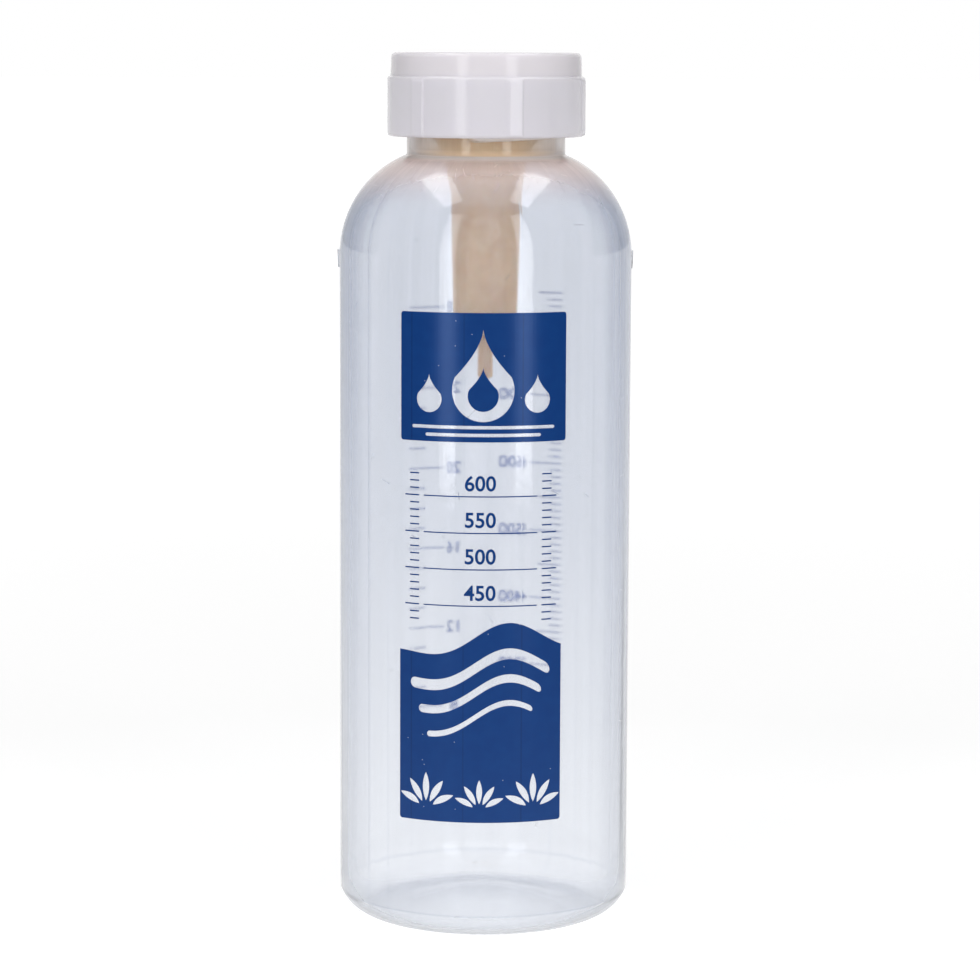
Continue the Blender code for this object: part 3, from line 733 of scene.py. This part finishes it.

# Blue screen ink, cured on the plastic: it covers fully, shines softly and has the odd pinhole. The die's lines in
# the wall under it are painted into it as darker lines, painted shade, and its underside is painted a brighter blue,
# a painted glow for light from behind.
INK_LINE_REACH = 0.0003
INK_LINE_SHADE = 2.0
PINHOLE_SPACING = 0.0045
PINHOLE_CHANCE = 0.14
PINHOLE_SIZE = 0.028
printed, add = new_material("cured_blue_screen_ink")
place = around(add, BODY_RADIUS)[0]
mottle = add("TexNoise", {"Vector": place, "Scale": 1 / 0.004, "Detail": 3.0}, noise_dimensions="2D")
colour = add("ValToRGB", [mottle], stops=((0.35, linear("0A3B7F")), (0.70, linear("0C3E82"))))
specks = add("TexVoronoi", {"Vector": place, "Scale": 1 / PINHOLE_SPACING}, voronoi_dimensions="2D")
chosen = add("SeparateColor", [specks["Color"]])["Red"]
few = add("Math", (chosen, 1 - PINHOLE_CHANCE), "GREATER_THAN")
dot = add("Math", (specks["Distance"], PINHOLE_SIZE), "LESS_THAN")
tones = [(add("Math", (few, dot), "MULTIPLY"), "A9B7CC")]
turn = add("SeparateXYZ", [place])["X"]
# Painted shade: the die's lines under the ink are painted into it as thin darker lines
for line_place, depth in DIE_LINES:
    if abs(line_place) < 34:
        middle = math.radians(FRONT + line_place) * BODY_RADIUS
        tones.append((line_at(add, turn, middle, INK_LINE_REACH, depth * INK_LINE_SHADE), "071D45"))
# Painted glow: the ink's underside, which faces into the bottle, is painted a brighter blue for light from behind
# shining through the ink
spot = add("TexCoord")
outwards = add("VectorMath", (spot["Normal"], spot["Object"]), "DOT_PRODUCT")["Value"]
tones.append((add("Math", (outwards, -0.01), "LESS_THAN"), "1450B0"))
for part, tone in tones:
    colour = add("Mix", {0: part, 6: colour, 7: linear(tone)}, data_type="RGBA")[2]
bump = add("Bump", {"Height": mottle, "Strength": 0.2, "Distance": 0.00005})
shader = add("BsdfPrincipled", {
    "Base Color": colour, "Roughness": 0.22, "IOR": 1.64, "Specular Tint": (0.42, 0.60, 1.0, 1.0), "Normal": bump,
})
add("OutputMaterial", [shader])
for piece in ink:
    piece.data.materials.clear()
    piece.data.materials.append(printed)
    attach(piece, "bottle")

# The teat
# Natural rubber, moulded in one piece: a grooved flange that grips the valve plate, a bell that fills the
# neck, and a tube with a round end and an uncut nib. It is stored turned down, and pulled out to feed.
FLANGE_BOTTOM = 0.0003
GROOVE_FLOOR = 0.0015
GROOVE_ROOF = 0.0039
FLANGE_TOP = 0.0049
FLANGE_RADIUS = 0.02405
GROOVE_RADIUS = 0.02195
WRAP_RADIUS = 0.02025
FLANGE_ROUND = 0.0004
BELL_FILLET = 0.0008
BELL_RADIUS = 0.0188
BELL_BORE = 0.0164
BELL_DEPTH = 0.009
TUBE_ROOT_RADIUS = 0.00955
TUBE_END_RADIUS = 0.0089
TUBE_WALL = 0.0018
TUBE_LENGTH = 0.0637
FLARE_DEPTH = 0.0199
FLARE_WIDTH = 0.0031
FLARE_LENGTH = 0.0061
FLARE_BLEND = 0.0006
FLARE_END = 0.038
BEAD_DEPTH = 0.0363
BEAD_PROUD = 0.00014
BEAD_LENGTH = 0.0009
NIB_RADIUS = 0.0021
NIB_LENGTH = 0.011
NIB_ROUND = 0.0009
MILK_HOLE_RADIUS = 0.0006


def smooth_least(first, second, blend):
    """The lesser of two sizes, with the corner between them rounded off."""
    low, high = sorted((first, second))
    return low - blend * math.log(1 + math.exp((low - high) / blend))


def flare_radius(depth):
    """Outside radius of the teat's tube and of the flare that widens it towards the bell."""
    along = min(max((depth - FLARE_END) / (TUBE_LENGTH - FLARE_END), 0.0), 1.0)
    tube = TUBE_ROOT_RADIUS + (TUBE_END_RADIUS - TUBE_ROOT_RADIUS) * along
    bead = BEAD_PROUD * math.exp(-(((depth - BEAD_DEPTH) / BEAD_LENGTH) ** 2))
    return tube + bead + FLARE_WIDTH * math.exp((FLARE_DEPTH - depth) / FLARE_LENGTH)


tip = TUBE_LENGTH + TUBE_END_RADIUS + NIB_LENGTH
tube_bore = TUBE_END_RADIUS - TUBE_WALL
nib_angle = -math.degrees(math.acos(NIB_RADIUS / TUBE_END_RADIUS))
hole_angle = -math.degrees(math.acos(MILK_HOLE_RADIUS / tube_bore))
CORNER = 0.0003
outline = [(WRAP_RADIUS, FLANGE_TOP - CORNER), (WRAP_RADIUS + CORNER, FLANGE_TOP)]
outline += arc((FLANGE_RADIUS - FLANGE_ROUND, FLANGE_TOP - FLANGE_ROUND), FLANGE_ROUND, 90, 0, 4)
outline += arc((FLANGE_RADIUS - FLANGE_ROUND, FLANGE_BOTTOM + FLANGE_ROUND), FLANGE_ROUND, 0, -90, 4)
outline += arc((BELL_RADIUS + BELL_FILLET, FLANGE_BOTTOM - BELL_FILLET), BELL_FILLET, 90, 180, 5)
for start, end, steps in (
    (BELL_DEPTH - 0.006, BEAD_DEPTH - 0.003, 34), (BEAD_DEPTH - 0.0025, BEAD_DEPTH + 0.0025, 14),
):
    for depth in spread(start, end, steps):
        outline.append((smooth_least(BELL_RADIUS, flare_radius(depth), FLARE_BLEND), -depth))
outline += [(flare_radius(depth), -depth) for depth in spread(BEAD_DEPTH + 0.003, TUBE_LENGTH, 14)]
outline += arc((0.0, -TUBE_LENGTH), TUBE_END_RADIUS, 0, nib_angle, 14)[1:]
outline += arc((NIB_RADIUS - NIB_ROUND, NIB_ROUND - tip), NIB_ROUND, 0, -90, 5)
outline += [(MILK_HOLE_RADIUS, -tip)]
outline += arc((0.0, -TUBE_LENGTH), tube_bore, hole_angle, 0, 12)
for depth in spread(TUBE_LENGTH - 0.002, BELL_DEPTH, 40):
    bore = flare_radius(depth + TUBE_WALL / 2) - TUBE_WALL
    outline.append((smooth_least(BELL_BORE, bore, FLARE_BLEND), -depth))
outline += [(BELL_BORE, GROOVE_FLOOR - CORNER), (BELL_BORE + CORNER, GROOVE_FLOOR), (GROOVE_RADIUS, GROOVE_FLOOR)]
outline += [(GROOVE_RADIUS, GROOVE_ROOF), (WRAP_RADIUS, GROOVE_ROOF)]
teat = turned("rubber_teat", outline, round_steps(144), closed=True, base=RIM_TOP)

# Air reaches the air valve through a notch in the flange's skirt
NOTCH_HALF = 0.0007
NOTCH_LOW = 0.0018
NOTCH_HIGH = 0.0024
NOTCH_OVERRUN = 0.0005
notch = block(
    "notch", GROOVE_RADIUS - NOTCH_OVERRUN, FLANGE_RADIUS + NOTCH_OVERRUN, NOTCH_HALF, RIM_TOP + NOTCH_LOW,
    RIM_TOP + NOTCH_HIGH,
)
combine(teat, [notch], "DIFFERENCE", sharp=40.0)

# Natural rubber: tan and satin, paler where its bloom lies, with the fine drag marks of its mould.
rubber, add = new_material("moulded_natural_rubber")
place = around(add, TUBE_ROOT_RADIUS)[0]
bloom = add(
    "TexNoise", {"Vector": place, "Scale": 1 / 0.006, "Detail": 4.0, "Roughness": 0.6, "Distortion": 0.4},
    noise_dimensions="2D",
)
colour = add("ValToRGB", [bloom], stops=((0.30, linear("C39C6C")), (0.75, linear("D2B086"))))
drawn = add("VectorMath", (place, (1.0, 0.08, 1.0)), "MULTIPLY")
drag = add("TexNoise", {"Vector": drawn, "Scale": 1 / 0.0006}, noise_dimensions="2D")
bump = add("Bump", {"Height": drag, "Strength": 0.25, "Distance": 0.00006})
roughness = add("MapRange", (bloom, 0.3, 0.7, 0.38, 0.52))
shader = add("BsdfPrincipled", {
    "Base Color": colour, "Roughness": roughness, "IOR": 1.52, "Subsurface Weight": 0.6,
    "Subsurface Radius": (0.006, 0.003, 0.0015), "Subsurface Scale": 1.0, "Normal": bump,
})
add("OutputMaterial", [shader])
teat.data.materials.append(rubber)
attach(teat, "teat_and_plate")
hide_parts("teat")

# The screw ring
# White polypropylene, injection-moulded: two tiers, six flat grip ribs on the lower one, an inward lip that
# clamps the teat's flange, and a screw thread inside.
RING_BOTTOM = -0.016
RING_TOP = 0.0072
LEDGE = 0.0006
RING_BORE = 0.02545
RING_RADIUS = 0.02755
TIER_RADIUS = 0.02665
TIER_DRAFT = 0.00018
TIER_BORE = 0.02445
LIP_BOTTOM = 0.0052
RING_HOLE = 0.0190
BORE_STEP = 0.001
TOP_ROUND = 0.0014
LEDGE_ROUND = 0.0007
SKIRT_ROUND = 0.001
RIB_COUNT = 6
RIB_WIDTH = 0.0031
RIB_PROUD = 0.00026
RIB_ANGLE = -72.7
RIB_LEAN = -2.0
RIB_LONG_FLANK = 0.0018
RIB_SHORT_FLANK = 0.0007
RIB_TOP_DROP = 0.0002
RIB_TOP_SLOPE = 0.0012
HOLE_ROUND = 0.0005
LEDGE_FILLET = 0.0002
BORE_ROUND = 0.0004
THREAD_ROOT_GAP = 0.0006
FLANK_GAP = 0.00035

outline = arc((RING_HOLE + HOLE_ROUND, RING_TOP - HOLE_ROUND), HOLE_ROUND, 180, 90, 4)
outline += arc((TIER_RADIUS - TIER_DRAFT - TOP_ROUND, RING_TOP - TOP_ROUND), TOP_ROUND, 90, 0, 8)
outline += arc((TIER_RADIUS + LEDGE_FILLET, LEDGE + LEDGE_FILLET), LEDGE_FILLET, 180, 270, 3)
outline += arc((RING_RADIUS - LEDGE_ROUND, LEDGE - LEDGE_ROUND), LEDGE_ROUND, 90, 0, 5)
for start, end, steps in (
    (LEDGE - LEDGE_ROUND - 0.0001, LEDGE - 0.003, 8), (LEDGE - 0.0035, RING_BOTTOM + 0.0012, 22),
):
    outline += [(RING_RADIUS, height) for height in spread(start, end, steps)]
outline += arc((RING_RADIUS - SKIRT_ROUND, RING_BOTTOM + SKIRT_ROUND), SKIRT_ROUND, 0, -90, 8)
outline += arc((RING_BORE + BORE_ROUND, RING_BOTTOM + BORE_ROUND), BORE_ROUND, -90, -180, 3)
outline += [(RING_BORE, TIER_BORE - RING_BORE - BORE_STEP), (TIER_BORE, -BORE_STEP)]
outline += [(TIER_BORE, LIP_BOTTOM), (RING_HOLE, LIP_BOTTOM)]


def rib_skin(angle, radius, height):
    """How far the grip ribs stand out of the ring's lower tier: a flat face with a long flank and a short one."""
    if radius < RING_RADIUS - SKIRT_ROUND:
        return 0.0
    off = (angle - RIB_ANGLE + 180 / RIB_COUNT) % (360 / RIB_COUNT) - 180 / RIB_COUNT
    across = math.radians(off) * RING_RADIUS
    share = 1.0
    for part in (
        (across + RIB_WIDTH / 2 + RIB_LONG_FLANK) / RIB_LONG_FLANK,
        (RIB_WIDTH / 2 + RIB_SHORT_FLANK - across) / RIB_SHORT_FLANK,
        (LEDGE - RIB_TOP_DROP - height) / RIB_TOP_SLOPE,
        (height - RING_BOTTOM) / SKIRT_ROUND,
    ):
        part = min(max(part, 0.0), 1.0)
        share *= part * part * (3 - 2 * part)
    return share * ((RING_RADIUS + RIB_PROUD) / math.cos(math.radians(off - RIB_LEAN)) - RING_RADIUS)


ring_angles = set(round_steps(180))
half = RIB_WIDTH / 2
for place in [RIB_ANGLE + 360 * number_of / RIB_COUNT for number_of in range(RIB_COUNT)]:
    for across in spread(-half - RIB_LONG_FLANK, -half, 8) + spread(half, half + RIB_SHORT_FLANK, 8):
        ring_angles.add(round((place + math.degrees(across / RING_RADIUS)) % 360, 4))
ring = turned("screw_ring_moulding", outline, sorted(ring_angles), closed=True, shift=rib_skin, base=RIM_TOP)
crest = NECK_RADIUS + THREAD_ROOT_GAP
bottom = RING_BOTTOM + BORE_ROUND + THREAD_CREST / 2 + THREAD_SLOPE * (RING_BORE - crest)
under = THREAD_CREST + THREAD_SLOPE * (THREAD_CREST_RADIUS - crest) + FLANK_GAP
start_turn = (RIM_TOP + bottom + under - NECK_THREAD_BOTTOM) / THREAD_PITCH
ridge = thread("ridge", RING_BORE, crest, NECK_THREAD_START + 360 * start_turn, RIM_TOP + bottom, 1.25)
combine(ring, [ridge], "UNION", sharp=38.0)

# Injection-moulded white polypropylene: cool white, satin, faintly see-through where the rubber lies behind it.
moulded, add = new_material("moulded_white_polypropylene")
place, height = around(add, RING_RADIUS)
cloud = add("TexNoise", {"Vector": place, "Scale": 1 / 0.02, "Detail": 1.0}, noise_dimensions="2D")
grain = add("TexNoise", {"Vector": place, "Scale": 1 / 0.0004}, noise_dimensions="2D")
ledge = RIM_TOP + LEDGE
tier = add("MapRange", (height, ledge - 0.002, ledge + 0.002), interpolation_type="SMOOTHSTEP")
colour = add("Mix", {0: tier, 6: linear("E8E5ED"), 7: linear("EDE8EE")}, data_type="RGBA")[2]
bump = add("Bump", {"Height": grain, "Strength": 0.12, "Distance": 0.00003})
roughness = add("MapRange", (cloud, 0.3, 0.7, 0.11, 0.14))
shader = add("BsdfPrincipled", {
    "Base Color": colour, "Roughness": roughness, "IOR": 1.49, "Subsurface Weight": 0.5,
    "Subsurface Radius": (0.003, 0.003, 0.0032), "Subsurface Scale": 1.0, "Normal": bump,
})
add("OutputMaterial", [shader])
ring.data.materials.append(moulded)
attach(ring, "screw_ring")
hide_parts("screw_ring")

# The valve plate
# White plastic, injection-moulded: a disc that the teat's flange grips, dished in the middle, with six milk
# ports round the stem of one valve, and an air port beside the stem of the other that leads to its edge.
PLATE_BOTTOM = 0.0018
PLATE_TOP = 0.0036
PLATE_RADIUS = 0.02165
PLATE_EDGE = 0.0003
DISH_RADIUS = 0.0080
DISH_DEPTH = 0.0024
DISH_SLOPE = 0.0014
PORT_COUNT = 6
PORT_RADIUS = 0.0014
PORT_CIRCLE = 0.005
MILK_STEM_HOLE = 0.0018
AIR_STEM_HOLE = 0.0011
AIR_PORT_RADIUS = 0.0006
AIR_PORT_PLACE = 0.0176
AIR_STEM_PLACE = 0.0146
AIR_SLOT_WIDTH = 0.0014
AIR_SLOT_DEPTH = 0.0006

dish = PLATE_BOTTOM - DISH_DEPTH
wall = DISH_RADIUS + (PLATE_TOP - PLATE_BOTTOM) / 2
outline = [(0.0, dish), (wall - PLATE_EDGE, dish), (wall, dish + PLATE_EDGE), (wall + DISH_SLOPE, PLATE_BOTTOM)]
outline += arc((PLATE_RADIUS - PLATE_EDGE, PLATE_BOTTOM + PLATE_EDGE), PLATE_EDGE, -90, 0, 4)
outline += arc((PLATE_RADIUS - PLATE_EDGE, PLATE_TOP - PLATE_EDGE), PLATE_EDGE, 0, 90, 4)
outline += arc((DISH_RADIUS + DISH_SLOPE + PLATE_EDGE, PLATE_TOP - PLATE_EDGE), PLATE_EDGE, 90, 150, 4)
outline += arc((DISH_RADIUS - PLATE_EDGE, PLATE_TOP - DISH_DEPTH + PLATE_EDGE), PLATE_EDGE, -30, -90, 3)
outline += [(0.0, PLATE_TOP - DISH_DEPTH)]
plate = turned("valve_plate_moulding", outline[::-1], round_steps(120), base=RIM_TOP)


def rod(across, along, radius, low, high):
    """A round rod to cut a hole with."""
    return lofted("rod", [[(x, y, up) for x, y in arc((across, along), radius, 0, 345, 23)] for up in (low, high)])


low, high = RIM_TOP + dish - 0.001, RIM_TOP + PLATE_TOP + 0.001
holes = [(0.0, 0.0, MILK_STEM_HOLE), (AIR_STEM_PLACE, 0.0, AIR_STEM_HOLE), (AIR_PORT_PLACE, 0.0, AIR_PORT_RADIUS)]
for number_of in range(PORT_COUNT):
    turn = 2 * math.pi * (number_of + 0.5) / PORT_COUNT
    holes.append((PORT_CIRCLE * math.cos(turn), PORT_CIRCLE * math.sin(turn), PORT_RADIUS))
cuts = [rod(*hole, low, high) for hole in holes]
slot_top = RIM_TOP + PLATE_BOTTOM + AIR_SLOT_DEPTH
cuts.append(block("slot", AIR_PORT_PLACE, PLATE_RADIUS + 0.001, AIR_SLOT_WIDTH / 2, low, slot_top))
combine(plate, cuts, "DIFFERENCE", sharp=35.0)

# Injection-moulded plastic: plain white, satin, with a faint flow pattern that spreads from the middle.
plate_white, add = new_material("moulded_white_plate_plastic")
place = add("TexCoord")["Object"]
flow = add("TexNoise", {"Vector": place, "Scale": 1 / 0.003, "Detail": 3.0})
colour = add("ValToRGB", [flow], stops=((0.30, linear("E3E3E2")), (0.70, linear("EAEAE9"))))
bump = add("Bump", {"Height": flow, "Strength": 0.1, "Distance": 0.00005})
shader = add("BsdfPrincipled", {"Base Color": colour, "Roughness": 0.35, "IOR": 1.5, "Normal": bump})
add("OutputMaterial", [shader])
plate.data.materials.append(plate_white)
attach(plate, "teat_and_plate")
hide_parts("valve_plate")

# The two valves
# Silicone, moulded: each is an umbrella skirt on a stem that is pulled through the plate up to its bulb. The
# milk valve hangs under the dish and the air valve stands on the plate.
SEAT_GAP = 0.0003
SKIRT_EDGE = 0.0007
SKIRT_LIP = 0.0002
STEM_FILLET = 0.0004
BULB_OVERHANG = 0.0006
BULB_HEIGHT = 0.0014


def umbrella(name, stem, skirt, middle, travel, seat, upwards):
    """A valve: domed skirt, stem and bulb, turned round the Z axis, with its skirt above its seat or below it."""
    bulb_top = PLATE_BOTTOM - PLATE_TOP - travel - SEAT_GAP
    outline = [(0.0, SEAT_GAP + middle)]
    outline += arc((0.0, SEAT_GAP + SKIRT_EDGE), skirt, 90, 0, 12, (middle - SKIRT_EDGE) / skirt)[1:]
    outline += arc((skirt - SKIRT_LIP, SEAT_GAP + SKIRT_LIP), SKIRT_LIP, 0, -90, 3)
    outline += [(stem + STEM_FILLET, SEAT_GAP), (stem, SEAT_GAP - STEM_FILLET), (stem, bulb_top)]
    outline += arc((stem, bulb_top - BULB_OVERHANG), BULB_OVERHANG, 90, 0, 5)
    outline += [(stem / 2, bulb_top - BULB_HEIGHT), (0.0, bulb_top - BULB_HEIGHT)]
    if not upwards:
        outline = [(radius, -up) for radius, up in outline[::-1]]
    return turned(name, outline, round_steps(64), base=RIM_TOP + seat)


milk_valve = umbrella(
    "milk_valve_moulding", stem=0.0015, skirt=0.0072, middle=0.0013, travel=0.001, seat=dish, upwards=False
)
air_valve = umbrella(
    "air_valve_moulding", stem=0.0008, skirt=0.0041, middle=0.0009, travel=0.0006, seat=PLATE_TOP, upwards=True
)
air_valve.data.transform(Matrix.Translation((AIR_STEM_PLACE, 0.0, 0.0)))

# Silicone: milky and half clear, soft to the light, with a faint bloom.
silicone, add = new_material("moulded_milky_silicone")
place = add("TexCoord")["Object"]
bloom = add("TexNoise", {"Vector": place, "Scale": 1 / 0.0015, "Detail": 3.0})
colour = add("ValToRGB", [bloom], stops=((0.30, linear("C8CCCF")), (0.70, linear("D6D9DB"))))
roughness = add("MapRange", (bloom, 0.3, 0.7, 0.32, 0.42))
shader = add("BsdfPrincipled", {
    "Base Color": colour, "Roughness": roughness, "IOR": 1.41, "Subsurface Weight": 0.5,
    "Subsurface Radius": (0.002, 0.002, 0.0022), "Subsurface Scale": 1.0,
})
add("OutputMaterial", [shader])
for valve, node in ((milk_valve, "milk_valve"), (air_valve, "air_valve")):
    combine(valve, [], "UNION", sharp=40.0)
    valve.data.materials.append(silicone)
    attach(valve, node)
    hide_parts(node)

# The stage
# A plain white floor that runs back to a white horizon, soft boxes before the bottle and over it, and a long
# lens that is level with the closure and looks down a little.
bm = bmesh.new()
bmesh.ops.create_grid(bm, x_segments=2, y_segments=2, size=30.0)
floor = as_object("floor", bm)
floor.location = (0.0, 0.0, -0.0001)

# White paper: it is lit like the bottle and takes its shadow, and whatever shows it brings it up to white. What
# the plastic mirrors of it is bright round the foot and behind, and dim towards the camera.
PAPER_FILL = 0.38
FAR_FILL = 0.42
DIM_SIDE = 0.1
white, add = new_material("white_paper_sweep")
path = add("LightPath")
place = add("TexCoord")["Object"]
depth = add("SeparateXYZ", [place])["Y"]
distance = add("VectorMath", [place], "LENGTH")["Value"]
strength = DIM_SIDE
for inputs in (
    (distance, 0.12, 0.33, 0.45, 0.0), (distance, 0.33, 1.20, 0.35, 0.0), (depth, -0.05, 0.30, 0.0, 1.0),
):
    part = add("MapRange", inputs)
    strength = add("Math", (strength, part), "ADD", use_clamp=True)
far = add("MapRange", (distance, 0.3, 1.5, PAPER_FILL, PAPER_FILL + FAR_FILL))
glow = add("Math", (path["Is Camera Ray"], far), "MULTIPLY")
paper = add("BsdfPrincipled", {
    "Base Color": linear("F0F0F0"), "Roughness": 0.9, "Specular IOR Level": 0.0,
    "Emission Color": (1.0, 1.0, 1.0, 1.0), "Emission Strength": glow,
})
strength = add("Math", (strength, path["Is Transmission Ray"]), "MAXIMUM")
mirrored = add("Emission", {"Strength": strength})
indirect = add("Math", (path["Is Glossy Ray"], path["Is Transmission Ray"]), "MAXIMUM")
surface = add("MixShader", (indirect, paper, mirrored))
add("OutputMaterial", [surface])
floor.data.materials.append(white)

# The room is white where it is seen directly or through plastic. It lights the bottle evenly and faintly. What the
# plastic mirrors of it is dim behind the camera, pale at the sides, white behind the bottle and duller on the right.
AMBIENT = 0.3
MIRRORED_ROOM = ((-0.6, 0.10), (-0.3, 0.30), (0.3, 0.30), (0.4, 0.15), (0.7, 0.30), (1.0, 1.0))
world = bpy.data.worlds.new("studio")
bpy.context.scene.world = world
world.use_nodes = True
world.node_tree.nodes.clear()
add = partial(add_node, world.node_tree)
path = add("LightPath")
direction = add("SeparateXYZ", [add("TexCoord")["Generated"]])
depth = add("MapRange", (direction["Y"], -1.0, 1.0))
stops = [((place + 1) / 2, (level, level, level, 1.0)) for place, level in MIRRORED_ROOM]
room = add("ValToRGB", [depth], stops=stops)
flag = add("MapRange", (direction["X"], 0.3, 0.8, 1.0, 0.6))
mirrored = add("Math", (room, flag), "MULTIPLY")
room = add("Mix", {0: path["Is Glossy Ray"], 2: AMBIENT, 3: mirrored})
seen = add("Math", (path["Is Camera Ray"], path["Is Transmission Ray"]), "MAXIMUM")
strength = add("Math", (room, seen), "MAXIMUM")
background = add("Background", {"Color": (1.0, 1.0, 1.0, 1.0), "Strength": strength})
add("OutputWorld", [background])

# Two upright soft boxes stand before the bottle, and two more hang over it. Each faces the shoulder. Two broad
# fills, in front and above, have no mirror image, as bounced light has none.
SHOULDER = Vector((0.0, 0.0, 0.2))
for name, middle, along, width, length, radiance in (
    ("left_front_box", (-0.482, -0.876, 0.60), (0.0, 0.0, 1.0), 0.22, 1.20, 2.5),
    ("right_front_box", (0.500, -0.866, 0.60), (0.0, 0.0, 1.0), 0.22, 1.20, 2.5),
    ("left_top_box", (-0.44, -0.08, 1.20), (0.0, 1.0, 0.0), 0.28, 0.90, 3.0),
    ("right_top_box", (0.44, -0.08, 1.20), (0.0, 1.0, 0.0), 0.28, 0.90, 3.0),
    ("front_fill", (0.0, -1.05, 0.60), (0.0, 0.0, 1.0), 0.60, 1.20, 0.8),
    ("top_fill", (0.0, -0.25, 1.30), (0.0, 1.0, 0.0), 0.80, 0.80, 0.9),
):
    light = bpy.data.lights.new(name, "AREA")
    light.shape = "RECTANGLE"
    light.size = width
    light.size_y = length
    light.energy = radiance * math.pi * width * length
    box = bpy.data.objects.new(name, light)
    up = Vector(along)
    back = Vector(middle) - SHOULDER
    back = (back - up * back.dot(up)).normalized()
    box.matrix_world = Matrix((up.cross(back), up, back)).transposed().to_4x4()
    box.location = middle
    box.visible_camera = False
    box.visible_glossy = "fill" not in name
    bpy.context.scene.collection.objects.link(box)

CAMERA_PLACE = (0.0, -0.950, 0.243)
CAMERA_PITCH = 7.36
CAMERA_YAW = -0.0904
CAMERA_ROLL = 0.24
lens = bpy.data.cameras.new("long_lens")
lens.sensor_width = 36.0
lens.lens = 124.5
camera = bpy.data.objects.new("long_lens", lens)
turn = Matrix.Rotation(math.radians(CAMERA_YAW), 4, "Z") @ Matrix.Rotation(math.radians(90 - CAMERA_PITCH), 4, "X")
camera.matrix_world = Matrix.Translation(CAMERA_PLACE) @ turn @ Matrix.Rotation(math.radians(CAMERA_ROLL), 4, "Z")
bpy.context.scene.collection.objects.link(camera)
bpy.context.scene.camera = camera
bpy.context.scene.view_settings.view_transform = "Standard"
